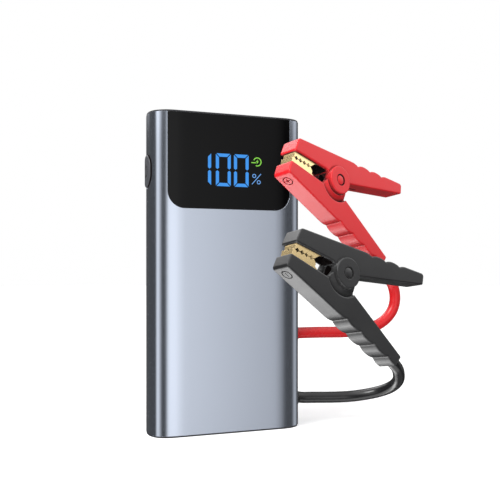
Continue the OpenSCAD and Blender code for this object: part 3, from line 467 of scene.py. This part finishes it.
# The two leads, from the gland's mouth to where they enter the lower handle
leads = {
    "mouth": 44.8, "diameter": 6.5, "around": 28, "steps": 6, "eased": 2,
    "red": {
        "height": 51.5, "endWay": (-0.76, -0.233, 0.606),
        "route": [(0, 0, 0), (3.7, 0, 0), (10.2, 0, 0), (16.7, 0.5, 0), (23.7, 0.5, -0.5), (30.2, 0.5, -0.5),
                  (36.7, 1, -0.5), (43.2, 0.5, 0), (49.7, 0.5, 1.5), (55.7, 0, 4), (60.7, -0.5, 8), (64.2, -1, 13.5),
                  (64.7, -1.5, 20), (62.7, -2, 26.5), (59.2, -2.5, 32), (54.7, -3.5, 36.5), (50.2, -4.5, 40.8)],
    },
    "black": {
        "height": 14.5, "endWay": (-0.747, -0.132, 0.652),
        "route": [(0, 0, 0), (3.7, 0, -0.5), (8.7, -0.5, -0.5), (13.7, -1, -1), (19.2, -2, -1), (25.2, -3.5, -1),
                  (30.7, -5, -1), (35.7, -7.5, 0), (40.2, -10.5, 1), (44.7, -14, 2.5), (47.7, -18.5, 4.5),
                  (49.2, -23.5, 7), (48.7, -28.5, 10), (47.2, -33, 13), (44.7, -37.5, 16), (41.2, -40.5, 20),
                  (37.4, -41.6, 24)],
    },
}


def makeLead(colour):
    lead = leads[colour]
    mouth = Vector((leads["mouth"], 0, lead["height"]))
    route = [mouth + Vector(p) for p in lead["route"]]
    for _ in range(leads["eased"]):
        route[2:-2] = [(a + 2 * b + c) / 4 for a, b, c in zip(route[1:-3], route[2:-2], route[3:-1])]
    points = curveThrough(route, leads["steps"])
    length = sum((b - a).length for a, b in zip(points, points[1:]))
    piece = tube(colour + "Lead", points, leads["diameter"] / 2, leads["around"], Vector((1, 0, 0)),
                 Vector(lead["endWay"]))
    smooth(piece, 50, False)
    dress(piece, colour + "_silicone", "pack", [colour + "_cord"])
    return length


for colour in colours:
    print(colour, "lead", round(makeLead(colour), 1), "mm")

# The pack's sleeve and window
pack = {
    "width": 85.6, "depth": 26, "height": 172, "wall": 1.6, "sideZone": 20, "fullness": 3.2, "capEdge": 0.8,
    "gap": 0.1, "glandRadius": 4.5, "steps": 72, "displayHole": ((-26, 26), (127, 158)),
}
window = {"width": 69, "height": 50.6, "corner": 9, "thickness": 1, "rim": 0.18}
button = {
    "width": 13, "length": 17.4, "height": 140.7, "proud": 0.8, "rim": 0.5, "room": 1.2, "base": 3.0, "skirt": -1.2,
    "rings": (1.2, 2.2, 3.2, 4.1), "paintedShadeRings": 3,
}
sleeveTop = pack["height"] - pack["capEdge"]


# The pack's outline seen from above, drawn in by an amount
def section(inward):
    zone, deep = pack["sideZone"] - inward, pack["depth"] / 2 - inward
    flat, power = pack["width"] / 2 - pack["sideZone"], 2 / pack["fullness"]
    line = []
    for side in (1, -1):
        for i in range(pack["steps"] + 1):
            a = math.radians(-90 + 180 * i / pack["steps"])
            x = flat + zone * abs(math.cos(a)) ** power
            y = deep * math.copysign(abs(math.sin(a)) ** power, math.sin(a))
            line.append((side * x, side * y))
    return line


def windowOutline(gap):
    half, low, high = window["width"] / 2 + gap, sleeveTop - window["height"] - gap, sleeveTop + gap
    corner = window["corner"] + gap
    return rounded([(-half, low, corner), (half, low, corner), (half, high, 0), (-half, high, 0)], 16)


def slotOutline(width, length, height, steps=20):
    straight, r = (length - width) / 2, width / 2
    return arc((0, height + straight), r, 0, 180, steps) + arc((0, height - straight), r, 180, 360, steps)


def makeSleeve():
    side, depth, room = pack["width"] / 2, pack["depth"], button["room"]
    sleeve = prism("sleeveShell", section(0), pack["capEdge"], sleeveTop, "z")
    recess = prism("recess", windowOutline(pack["gap"]), -2 * depth, -1, "y")
    combine(recess, [prism("core", section(window["thickness"]), 0, pack["height"], "z")])
    buttonHole = slotOutline(button["width"] + room, button["length"] + room, button["height"])
    cutters = [prism("bore", section(pack["wall"]), -1, pack["height"] + 1, "z"), recess,
               prism("displayHole", rectangle(*pack["displayHole"]), -depth, 0, "y"),
               prism("buttonHole", buttonHole, -side - 5, -side + 10, "x")]
    for colour in colours:
        hole = circle(pack["glandRadius"], 40, (0, leads[colour]["height"]))
        cutters.append(prism("leadHole", hole, side - 6, side + 5, "x"))
    combine(sleeve, cutters)
    smooth(sleeve, 30)
    dress(sleeve, "anodised", "pack", ["sleeve"])


def makeWindow():
    glass = prism("windowGlass", windowOutline(0), -2 * pack["depth"], -1, "y")
    combine(glass, [prism("outside", section(0), 0, sleeveTop, "z")], "INTERSECT")
    combine(glass, [prism("core", section(window["thickness"]), -1, pack["height"] + 2, "z")])
    rim = glass.modifiers.new("rim", "BEVEL")
    rim.width = window["rim"] * mm
    rim.segments = 2
    rim.angle_limit = math.radians(50)
    settle(glass)
    smooth(glass, 30)
    dress(glass, "window", "pack", ["display_window"])


makeSleeve()
makeWindow()
print("sleeve and window made")

# The display's signs, thin shapes on the window from one level over its face to another
signs = {
    "face": -13.0, "levels": (-0.02, 0.05), "bar": 1.75, "gap": 0.36, "low": 132.9, "high": 150.4, "point": 0.7,
    "middleGap": 0.35, "overlap": 0.06, "one": (-19.5, -11.1), "zeros": [(-8.5, -0.1), (1.7, 10.1)],
}
chargeSign = {
    "centre": (15.1, 146.9), "radius": 2.2, "line": 0.55, "arc": (155, -112, 30), "stem": (-1.55, -0.4), "drop": 0.5,
    "bolt": [(0.3, 1.3), (-0.85, -0.18), (-0.1, -0.18), (-0.4, -1.3), (0.85, 0.25), (0.1, 0.25)],
}
percentSign = {
    "left": 12.0, "right": 17.3, "low": 134.6, "high": 140.4, "radius": 1.12, "line": 0.42, "inset": (0.2, 0.1),
}


def signPiece(name, shapes, place):
    points, faces = [], []
    for shape in shapes:
        start = len(points)
        points += [place(u, v, out) for out in signs["levels"] for u, v in shape]
        ends, sides = ringFaces(2, len(shape))
        faces += [tuple(start + i for i in face) for face in ends + sides]
    return pieceFrom(name, meshFrom(name, points, faces))


def onWindow(u, v, out):
    return u, signs["face"] - out, v


# A line drawn as a quad for each step, so that it can follow a curved face
def ribbon(line, width):
    quads = []
    for a, b in zip(line, line[1:]):
        a, b = Vector(a), Vector(b)
        way = (b - a).normalized()
        off = Vector((-way.y, way.x)) * width / 2
        reach = way * width * signs["overlap"]
        quads.append([tuple(p) for p in (a - reach + off, a - reach - off, b + reach - off, b + reach + off)])
    return quads


# A line drawn as one outline
def stripes(line, width):
    left, right = [], []
    for i, p in enumerate(line):
        before, after = Vector(line[max(i - 1, 0)]), Vector(line[min(i + 1, len(line) - 1)])
        way = (after - before).normalized()
        off = Vector((-way.y, way.x)) * width / 2
        left.append(tuple(Vector(p) + off))
        right.append(tuple(Vector(p) - off))
    return [left + right[::-1]]


# The bars of one digit between its left and right edge
def digitBars(left, right, parts):
    low, high, bar, gap, tip = (signs[key] for key in ("low", "high", "bar", "gap", "point"))
    middle = (low + high) / 2
    bars = {
        "top": [(left + gap, high), (right - gap, high), (right - gap - bar, high - bar),
                (left + gap + bar, high - bar)],
        "bottom": [(left + gap, low), (left + gap + bar, low + bar), (right - gap - bar, low + bar),
                   (right - gap, low)],
    }
    for side, outer, inner in (("left", left, left + bar), ("right", right, right - bar)):
        for half, end, way in (("Upper", high, 1), ("Lower", low, -1)):
            near = middle + way * signs["middleGap"]
            bars[side + half] = [(outer, end - way * gap), (outer, near + way * tip), ((outer + inner) / 2, near),
                                 (inner, near + way * tip), (inner, end - way * (gap + bar))]
    return [bars[part] for part in parts]


def chargeShapes():
    (x, z), radius, line = chargeSign["centre"], chargeSign["radius"], chargeSign["line"]
    shapes = stripes(arc((x, z), radius, *chargeSign["arc"]), line)
    shapes += stripes([(x + share * radius, z - chargeSign["drop"]) for share in chargeSign["stem"]], line)
    return shapes + [[(x + u, z + v) for u, v in chargeSign["bolt"]]]


def percentShapes():
    left, right, low, high = (percentSign[key] for key in ("left", "right", "low", "high"))
    radius, line, (u, v) = percentSign["radius"], percentSign["line"], percentSign["inset"]
    shapes = []
    for centre in ((left + radius + u, high - radius - v), (right - radius - u, low + radius + v)):
        shapes += stripes(arc(centre, radius - line / 2, 0, 360, 20), line)
    return shapes + stripes([(left, low), (right, high)], line)


def makeSigns():
    right = ["rightUpper", "rightLower"]
    digits = digitBars(*signs["one"], right)
    for place in signs["zeros"]:
        digits += digitBars(*place, ["top", "bottom", "leftUpper", "leftLower"] + right)
    for name, shapes, light in (("levelDigits", digits, glowBlue), ("chargeSign", chargeShapes(), glowGreen),
                                ("percentSign", percentShapes(), glowPale)):
        dress(signPiece(name, shapes, onWindow), light, "pack")


makeSigns()


# The power button, which follows the pack's side
def sideAt(y):
    share = min(1.0, abs(y) / (pack["depth"] / 2)) ** pack["fullness"]
    return pack["width"] / 2 - pack["sideZone"] + pack["sideZone"] * (1 - share) ** (1 / pack["fullness"])


def onButton(u, v, out):
    return -(sideAt(u) + button["proud"] + out), u, v


def makeButton():
    proud = button["proud"]
    insets = [(0, button["skirt"])]
    insets += [(inward, proud - down) for inward, down in rimSteps(button["rim"], inRadians(0, 20, 40, 60, 90))]
    insets += [(inward, proud) for inward in button["rings"]]
    levels = []
    for inward, up in insets:
        outline = slotOutline(button["width"] - 2 * inward, button["length"] - 2 * inward, 0, 18)
        levels.append([(-(sideAt(u) + up), u, v + button["height"]) for u, v in outline])
    levels.insert(0, [(-pack["width"] / 2 + button["base"], u, v) for _, u, v in levels[0]])
    count = len(levels[0])
    ends, sides = ringFaces(len(levels), count)
    piece = pieceFrom("powerButton", meshFrom("powerButton", [p for level in levels for p in level], ends + sides))
    smooth(piece, 40)
    dress(piece, "button_plastic", "button", ["power_button"])
    # The lowest side bands, from the base through the skirt in the gap around the button, get the near-black finish as
    # painted shade
    piece.data.materials.append(materials["painted_shade"])
    for face in piece.data.polygons[2:2 + button["paintedShadeRings"] * count]:
        face.material_index = 1


powerSign = {"line": 0.9, "radius": 3.0, "lift": 0.6, "drop": 0.5, "arc": (125, 415, 40), "bar": (0.3, 3.6)}


def makePowerSign():
    height = button["height"] + powerSign["lift"]
    ring = arc((0, height - powerSign["drop"]), powerSign["radius"], *powerSign["arc"])
    bar = [(0, height + v) for v in powerSign["bar"]]
    shapes = ribbon(ring, powerSign["line"]) + ribbon(bar, powerSign["line"])
    dress(signPiece("powerSign", shapes, onButton), "sign_grey", "button")


makeButton()
makePowerSign()
print("signs and button made")

# Clamps. In a clamp's own frame the pivot is the origin, its axis is Y and the jaws point to -X. The lines of a
# lever's faces, from "top" to "edge", are given by their level at the pivot and their slope in degrees.
clamps = {
    "red": {"pivot": (59.0039, -13.0763, 137.151), "turn": (-8.4, 18.4, 20.5)},
    "black": {"pivot": (47.9795, -44.9741, 85.388), "turn": (-9.2, 21.8, 14.0)},
}
lever = {
    "width": 12, "rim": 0.8, "wall": 1.6, "boss": 8, "bossWidth": 16.4, "bossRim": 0.6, "slabGap": 0.5,
    "nose": -35.4, "lowerNose": -36.5, "upperEnd": 57.5, "lowerEnd": 49.2,
    "pitch": 10.9, "depth": 1.2, "upperFirst": 15.9, "lowerFirst": 6.6, "waveTail": 0.45,
    "earIn": 2.3, "earOut": 3.4, "earGap": 0.3, "earRadius": 7.2, "relief": 12.2, "pin": 1.95,
    "capSeat": 2.3, "capRoom": 3.4, "plate": 0.8, "plateGap": 0.05, "upperWeb": 5, "lowerWeb": -8, "jawBack": -15,
    "screw": (-26, 1.15), "screwRoom": 4.7, "legRoom": ((0, 24.5), (0.957, 2.257), (-2, 3.9)),
    "top": (15.35, 7.07), "under": (-0.7, 16.2), "outer": (-21.8, -16.1), "inner": (-4.338, -26.57),
    "edge": (-7.14, -5.24), "throat": 3, "throatRoom": 8.6, "web": 1.5, "floor": 2.4, "endWall": 5.5,
    "leadSlope": 19.2, "leadLength": 33, "leadDrop": 2.46, "leadGap": 0.08,
}
# One wave of the grip, as shares of its pitch and depth
groove = [(-0.55, 0), (-0.35, 0.12), (-0.15, 0.5), (0, 1), (0.14, 0.45), (0.3, 0.08)]


def levelAt(line, x):
    level, slope = lever[line]
    return level + x * math.tan(math.radians(slope))


def grooveLine(first, count):
    line = [Vector(((u + i) * lever["pitch"] + first, v * lever["depth"], 0)) for i in range(count) for u, v in groove]
    line.append(Vector((first + (lever["waveTail"] + count - 1) * lever["pitch"], 0, 0)))
    return [(p.x, p.y) for p in curveThrough(line, 4)]


def sharp(points):
    return [(u, v, 0) for u, v in points]


def box(name, x, y, z):
    return prism(name, rectangle(x, y), *z, "z")


def rod(name, radius, low, high, axis="y", at=(0, 0)):
    return prism(name, circle(radius, 64, at), low, high, axis)


def slab(name, corners):
    half = lever["width"] / 2
    return softPrism(name, rounded(corners), -half, half, "y", lever["rim"])


# Leans what is made about Y, then moves it
def leaning(degrees, point=(0, 0, 0)):
    return Matrix.Translation(Vector(point) * mm) @ Euler((0, math.radians(degrees), 0)).to_matrix().to_4x4()


def makeUpperLever(colour):
    nose, end, boss, throat = lever["nose"], lever["upperEnd"], lever["boss"], lever["throat"]
    slabBoss = boss - lever["slabGap"]
    corners = [(nose, throat, 0.9), (-slabBoss, throat, 3)] + sharp(arc((0, 0), slabBoss, 190, 355, 24))
    corners += [(boss + 1.6, levelAt("under", boss + 1.6), 0), (end + 0.2, levelAt("under", end + 0.2), 0.9),
                (end - 0.2, levelAt("top", end), 1.8)]
    corners += [(u, levelAt("top", u) - v, 0) for u, v in reversed(grooveLine(lever["upperFirst"], 3))]
    corners += [(nose + 1.9, levelAt("top", nose + 1.9), 2)]
    piece = slab(colour + "UpperLever", corners)
    inner, half = lever["earOut"] + lever["earGap"], lever["bossWidth"] / 2
    rim = rimSteps(lever["bossRim"], inRadians(0, 30, 60, 90))
    ears = []
    for side in (-1, 1):
        profile = [(boss, inner * side)] + [(boss - inward, side * (half - down)) for inward, down in rim]
        ears.append(turnedPiece("ear", profile, 96))
    combine(piece, ears, "UNION")
    wall, (screwAt, screwRadius) = lever["width"] / 2 - lever["wall"], lever["screw"]
    plateTop = lever["upperWeb"] + lever["plate"] + lever["plateGap"]
    cutters = [rod("earRoom", boss + lever["earGap"], -inner, inner),
               box("jawRoom", (nose + 1.5, lever["jawBack"] + 0.5), (-wall, wall), (0, plateTop)),
               rod("screwRoom", screwRadius, 0, lever["upperWeb"] + lever["screwRoom"], "z", (screwAt, 0)),
               rod("pinRoom", lever["pin"], -lever["bossWidth"], lever["bossWidth"]),
               box("throatRoom", (lever["jawBack"], -lever["throatRoom"]), (-wall, wall), (0, lever["throatRoom"]))]
    legRoom = box("legRoom", *lever["legRoom"])
    legRoom.data.transform(leaning(-lever["under"][1]))
    cutters.append(legRoom)
    for side in (-1, 1):
        low, high = sorted((side * (half - lever["capSeat"]), side * 2 * half))
        cutters.append(rod("capRoom", lever["capRoom"], low, high))
    return combine(piece, cutters)


# The sign on the lower lever's nose, cut into its outer face
polarity = {"x": -31.9, "y": 0.3, "radius": 2.95, "line": 0.5, "levels": (-1, 0.4), "bar": (-1.5, 1.5), "half": 0.2}


def polarityCutters(colour):
    levels, bar, line = polarity["levels"], polarity["bar"], (-polarity["half"], polarity["half"])
    ring = prism("markRing", circle(polarity["radius"], 40), *levels, "z")
    combine(ring, [rod("markCore", polarity["radius"] - polarity["line"], -2, 2, "z")])
    cutters = [ring, box("markBar", bar, line, levels)]
    if colour == "red":
        cutters.append(box("markBar", line, bar, levels))
    place = leaning(-lever["outer"][1], (polarity["x"], polarity["y"], levelAt("outer", polarity["x"])))
    for cutter in cutters:
        cutter.data.transform(place)
    return cutters


# The angle at which one of the lever's lines meets the relief around the boss
def meets(line):
    level, slope = lever[line]
    return math.degrees(math.asin(-level * math.cos(math.radians(slope)) / lever["relief"])), slope


# The cone between the lower lever's ear and the slab, on each side, clear of the upper lever's disc
collar = {"foot": 0.1, "sink": 0.6, "low": 3.0, "high": 5.9, "discGap": 0.35}


def makeCollar(side, neck):
    foot, disc = lever["relief"] + collar["foot"], lever["boss"] + collar["discGap"]
    piece = turnedPiece("collar", [(foot, side * (lever["earOut"] - collar["sink"])), (foot, side * collar["low"]),
                                   (disc, side * collar["high"])], 96)
    combine(piece, [prism("neck", neck + [(0, 0)], side * 2, side * 8, "y")], "INTERSECT")
    return combine(piece, [rod("discRoom", disc, -9, 9)])


def lowerRooms(nose, end):
    wall, web, floor = lever["width"] / 2 - lever["wall"], lever["web"], lever["floor"]
    front, back, endWall = nose + 1.3, lever["jawBack"], end - lever["endWall"]
    low, (screwAt, screwRadius) = lever["lowerWeb"] - lever["plate"] - lever["plateGap"], lever["screw"]
    jawRoom = [(front, 0), (front, low), (back + 0.5, low), (back + 0.5, 0)]
    middleRoom = [(back - 1, 8), (back - 1, low), (-4, levelAt("outer", -4) + floor + 1),
                  (10, levelAt("outer", 10) + floor), (10, levelAt("inner", 10) - web),
                  (8, levelAt("inner", 8) - web), (8, 8)]
    handleRoom = [(8, levelAt("outer", 8) + floor), (endWall, levelAt("outer", endWall) + floor - 0.9),
                  (endWall, levelAt("inner", endWall) + 2), (20, levelAt("inner", 20) + 2),
                  (20, levelAt("inner", 20) - web), (8, levelAt("inner", 8) - web)]
    leadRoom = rod("leadRoom", leads["diameter"] / 2 + lever["leadGap"], -lever["leadLength"], 10, "x")
    leadAt = (end - 0.2, 0, levelAt("inner", end - 0.2) - lever["leadDrop"])
    leadRoom.data.transform(leaning(lever["leadSlope"], leadAt))
    return [prism("jawRoom", jawRoom, -wall, wall, "y"),
            prism("middleRoom", middleRoom, -lever["earIn"], lever["earIn"], "y"),
            prism("handleRoom", handleRoom, -wall, wall, "y"),
            rod("screwRoom", screwRadius, lever["lowerWeb"] - lever["screwRoom"], lever["lowerWeb"], "z", (screwAt, 0)),
            rod("pinRoom", lever["pin"], -lever["bossWidth"], lever["bossWidth"]), leadRoom]


def makeLowerLever(colour):
    nose, end, relief, radius = lever["lowerNose"], lever["lowerEnd"], lever["relief"], lever["earRadius"]
    turn, slope = meets("inner")
    start = slope - turn
    turn, slope = meets("edge")
    finish = slope - 180 + turn
    corners = [(nose, levelAt("edge", nose), 0.9), (nose - 1.2, levelAt("outer", nose - 1.2), 1.8)]
    corners += [(u, levelAt("outer", u) + v, 0) for u, v in grooveLine(lever["lowerFirst"], 4)]
    corners += [(end - 3.2, levelAt("outer", end - 3.2), 0.9), (end, levelAt("inner", end), 0.95)]
    corners += sharp(arc((0, 0), relief, start, finish, 30))
    piece = slab(colour + "LowerLever", corners)
    back, deep = 1.9 - relief, -relief - 0.4
    neck = [(-radius, -1), (back, -6.4), (back, deep), (9.9, deep), (9.9, -9.4), (8.5, -5), (7.3, -3.7)]
    ear = arc((0, 0), radius, 0, 180, 40) + neck + [(radius, -1)]
    ears = [prism("ear", ear, side * lever["earIn"], side * lever["earOut"], "y") for side in (-1, 1)]
    combine(piece, ears, "UNION")
    for side in (-1, 1):
        combine(piece, [makeCollar(side, neck)], "UNION")
    combine(piece, lowerRooms(nose, end))
    return combine(piece, polarityCutters(colour))


pinCap = {"radius": 2.75, "low": 5.7, "high": 7.9, "round": 0.5, "dome": 0.3}


def makePinCaps(colour, place):
    parts = []
    low, high, r = pinCap["low"], pinCap["high"], pinCap["radius"]
    for side in (-1, 1):
        profile = [(r, side * low), (r, side * (high - pinCap["round"]))]
        profile += [(r - inward, side * (high - down)) for inward, down in rimSteps(pinCap["round"], (0.5, 1.0, 1.5))]
        profile += [(share * r, side * (high + pinCap["dome"] * (1 - share * share)))
                    for share in (0.6, 0.4, 0.2, 0.02)]
        parts.append(turnedPiece(colour + "PinCaps", profile, 48))
    piece = combine(parts[0], parts[1:], "UNION")
    piece.data.transform(place)
    smooth(piece, 40, False)
    dress(piece, colour + "_plastic", "pack", [colour + "_pin_caps"])


# Faces in the moulded hollow around the jaws and in the throat behind it get a near-black finish: painted shade where
# deep shade falls
hollows = {
    "wallGap": 0.1, "lower": {"start": 1.2, "end": -6, "above": 2, "below": 0.3},
    "throat": {"x": (-20, -3), "y": 2.4, "z": (-12, 8)}, "upper": {"x": (-16, -6.5), "low": 3.1, "below": 1},
}


def inLowerHollow(point):
    x, y, z = point
    jaws, (left, right), (low, high) = hollows["lower"], hollows["throat"]["x"], hollows["throat"]["z"]
    level = levelAt("outer", x) + jaws["above"] < z < levelAt("edge", x) - jaws["below"]
    throat = left < x < right and low < z < high and abs(y) < hollows["throat"]["y"]
    return level and lever["lowerNose"] + jaws["start"] < x < jaws["end"] or throat


def inUpperHollow(point):
    room = hollows["upper"]
    return room["x"][0] < point.x < room["x"][1] and room["low"] < point.z < levelAt("top", point.x) - room["below"]


def paintHollowShade(piece, place, inside):
    piece.data.materials.append(materials["painted_shade"])
    back = place.inverted()
    half = lever["width"] / 2 - lever["wall"] + hollows["wallGap"]
    for face in piece.data.polygons:
        point = back @ face.center / mm
        if inside(point) and abs(point.y) < half:
            face.material_index = 1


spring = {"wire": 0.45, "coil": 3.4, "pitch": 1.35, "turns": 2, "leg": 23, "perTurn": 24, "hold": 0.5}


def makeSpring(colour, place):
    under, inner, full = lever["under"][1], lever["inner"][1], 360 * spring["turns"]
    first, turn = 90 + under, full + 180 - under + inner
    reach = spring["pitch"] * turn / full
    count = round(turn / 360 * spring["perTurn"])
    path = []
    for i in range(count + 1):
        a = math.radians(first + turn * i / count)
        path.append(Vector((spring["coil"] * math.cos(a), reach * (1 - 2 * i / count), spring["coil"] * math.sin(a))))
    ways = [Vector((math.cos(math.radians(s)), 0, math.sin(math.radians(s)))) for s in (under, inner)]
    path = [path[0] + spring["leg"] * ways[0]] + path + [path[-1] + spring["leg"] * ways[1]]
    piece = tube(colour + "Spring", path, spring["wire"], 10, -ways[0], ways[1])
    smooth(piece, 60, False)
    piece.data.transform(place)
    piece.data.materials.append(materials["spring_steel"])
    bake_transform(piece)
    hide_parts(colour + "_spring")


# Each lever, with the body it rides on, the node it stands for and where its hollow lies, whose faces get painted shade
def makeLevers(colour, place):
    for make, body, node, inside in ((makeUpperLever, colour + "_upper", "_upper_lever", inUpperHollow),
                                     (makeLowerLever, "pack", "_lower_lever", inLowerHollow)):
        piece = make(colour)
        piece.data.transform(place)
        smooth(piece, 34)
        dress(piece, colour + "_plastic", body, [colour + node])
        paintHollowShade(piece, place, inside)


for colour in colours:
    turn = Euler([math.radians(a) for a in clamps[colour]["turn"]])
    place = Matrix.Translation(Vector(clamps[colour]["pivot"]) * mm) @ turn.to_matrix().to_4x4()
    makeLevers(colour, place)
    makeSpring(colour, place)
    makePinCaps(colour, place)
    print(colour, "clamp made")

# Finishes of the CAD nodes that stay; the button bezel gets the near-black finish that paints shade
keep = {
    "cap_plastic": ["top_cap", "bottom_cap"], "painted_shade": ["button_bezel"],
    "steel": ["cap_screws", "usb_a_shell", "usb_c_shell"],
    "board": ["display_board", "main_board", "button_switch"],
    "frame_plastic": ["chassis"], "foam": ["foam_pad"],
    "cell_foil": ["cell_front", "cell_middle", "cell_rear"],
    "copper": ["cell_tabs", "red_lug", "black_lug"],
    "can": ["capacitors"], "tongue_plastic": ["usb_a_tongue", "usb_c_tongue", "transistors"],
    "gilt": ["lead_terminals"], "lens": ["lamp_lens"], "led": ["lamp_led"],
    "red_silicone": ["red_inner_lead", "red_lead_tail", "red_gland"],
    "black_silicone": ["black_inner_lead", "black_lead_tail", "black_gland"],
}
for colour in colours:
    keep["gilt"] += [colour + part for part in ("_upper_jaw", "_lower_jaw")]
    keep["steel"] += [colour + part for part in ("_upper_screw", "_lower_screw", "_pin")]
for finish, names in keep.items():
    for name in names:
        nodes[name].data.materials.clear()
        nodes[name].data.materials.append(materials[finish])

# What shines on the part is the studio alone
for thing in bpy.data.objects:
    if thing.type == "MESH":
        thing.visible_glossy = False

# Stage. Levels go by compass angle from -180 to 180 degrees. Glossy surfaces see, from the horizon upwards, the
# soft boxes, "high" and "top"; below the horizon lies dark shade, and under that the bright floor's "bounce".
# Dull surfaces see "softBelow" and "softAbove". Bands are the heights, in degrees, over which one goes to the next.
studio = {
    "floor": 3.0, "floorLevels": (-20, -0.05), "floorColour": 0.88, "floorGlow": 0.4, "rampScale": 8.0, "shade": 0.06,
    "bands": {"high": (10, 22), "top": (34, 39), "shade": (-26, -14), "bounce": (-48, -34), "soft": (-40, 20)},
    "room": 0.1,
    "boxes": [(-170, -155, -145, -125, 1.1), (-110, -100, -85, -55, 1.4), (-30, -15, 0, 15, 0.6)],
    "high": [(-180, 0.1), (-172, 0.5), (-163, 1.8), (-150, 2.4), (-130, 1.4), (-121, 0.4), (-110, 0.4), (-70, 0.6),
             (-50, 1.0), (-35, 1.5), (-13, 1.9), (10, 1.6), (50, 0.2), (108, 2.0), (114, 1.8), (121, 0.4),
             (140, 0.3), (165, 0.1)],
    "top": [(-180, 1.6), (-165, 2.2), (-150, 2.6), (-110, 1.2), (-50, 1.2), (-13, 1.8), (10, 1.2), (50, 0.4), (90, 1.0),
            (110, 6.0), (121, 6.0), (127, 1.0), (150, 1.0), (165, 1.6)],
    "bounce": [(-180, 2.0), (-60, 2.0), (-40, 0.4), (60, 0.15), (84, 0.3), (92, 2.0), (99, 6.0), (106, 7.6), (118, 4.0),
               (135, 2.5)],
    "softAbove": [(-180, 1.3), (-150, 2.0), (-110, 1.4), (-70, 1.1), (0, 0.6), (90, 0.4), (140, 0.8)],
    "softBelow": [(-180, 1.0), (-150, 1.7), (-110, 1.2), (-70, 0.6), (-20, 0.05), (120, 0.05), (150, 0.5)],
}


def makeFloor():
    floor = prism("floor", circle(studio["floor"] / mm, 64), *studio["floorLevels"], "z")
    level, glowing = studio["floorColour"], studio["floorGlow"]
    material = newMaterial("floorPaper", {
        "Base Color": (level, level, level, 1), "Roughness": 0.8, "Specular IOR Level": 0.1,
        "Emission Color": (1, 1, 1, 1), "Emission Strength": glowing})[0]
    floor.data.materials.append(material)
    floor.visible_glossy = False
    floor.visible_diffuse = False


# Each soft box level with the part: the angles where it starts, is full, starts to fade and ends, then its level
def boxLevels():
    levels = [(-180, studio["room"])]
    for start, full, fade, end, level in studio["boxes"]:
        levels += [(start, studio["room"]), (full, level), (fade, level), (end, studio["room"])]
    return levels


def angleRamp(tree, angle, levels):
    node = addNode(tree, "ValToRGB", Fac=spread(tree, angle, -math.pi, math.pi))
    while len(node.color_ramp.elements) < len(levels):
        node.color_ramp.elements.new(0.5)
    for element, (degrees, level) in zip(node.color_ramp.elements, levels):
        element.position = (degrees + 180) / 360
        element.color = (level / studio["rampScale"],) * 3 + (1,)
    return mathNode(tree, "MULTIPLY", node.outputs["Color"], studio["rampScale"])


# Goes from one level to another over a band of heights
def changeOver(tree, height, band, before, after):
    low, high = (math.sin(a) for a in inRadians(*studio["bands"][band]))
    return mixLevel(tree, spread(tree, height, low, high, kind="SMOOTHSTEP"), before, after)


def makeWorld():
    world = bpy.data.worlds.new("studio")
    bpy.context.scene.world = world
    world.use_nodes = True
    world.cycles.sampling_method = "NONE"
    tree = world.node_tree
    split = addNode(tree, "SeparateXYZ", Vector=addNode(tree, "TexCoord").outputs["Generated"])
    height = split.outputs["Z"]
    angle = mathNode(tree, "ARCTAN2", split.outputs["Y"], split.outputs["X"])
    ramps = {name: angleRamp(tree, angle, studio[name])
             for name in ("high", "top", "bounce", "softBelow", "softAbove")}
    shine = changeOver(tree, height, "high", angleRamp(tree, angle, boxLevels()), ramps["high"])
    shine = changeOver(tree, height, "top", shine, ramps["top"])
    shine = changeOver(tree, height, "shade", studio["shade"], shine)
    shine = changeOver(tree, height, "bounce", ramps["bounce"], shine)
    soft = changeOver(tree, height, "soft", ramps["softBelow"], ramps["softAbove"])
    ray = addNode(tree, "LightPath").outputs
    seen = mixLevel(tree, ray["Is Camera Ray"], mixLevel(tree, ray["Is Glossy Ray"], soft, shine), 1.0)
    background = tree.nodes["Background"].inputs
    tree.links.new(seen, background["Strength"])
    background["Color"].default_value = (1, 1, 1, 1)


# The soft key light: way is the compass angle from +X, and lengths are in metres
keyLight = {"way": -158, "far": 0.9, "height": 0.75, "size": 0.4, "power": 6, "shine": 0.2, "aim": (0.02, 0, 0.085)}


def makeKeyLight():
    data = bpy.data.lights.new("keyLight", "AREA")
    data.shape = "SQUARE"
    data.size = keyLight["size"]
    data.energy = keyLight["power"]
    data.specular_factor = keyLight["shine"]
    light = bpy.data.objects.new("keyLight", data)
    way, far = math.radians(keyLight["way"]), keyLight["far"]
    light.location = (far * math.cos(way), far * math.sin(way), keyLight["height"])
    light.rotation_euler = (Vector(keyLight["aim"]) - light.location).to_track_quat("-Z", "Y").to_euler()
    bpy.context.collection.objects.link(light)


makeFloor()
makeWorld()
makeKeyLight()
bpy.context.scene.view_settings.view_transform = "Standard"
print("stage made")
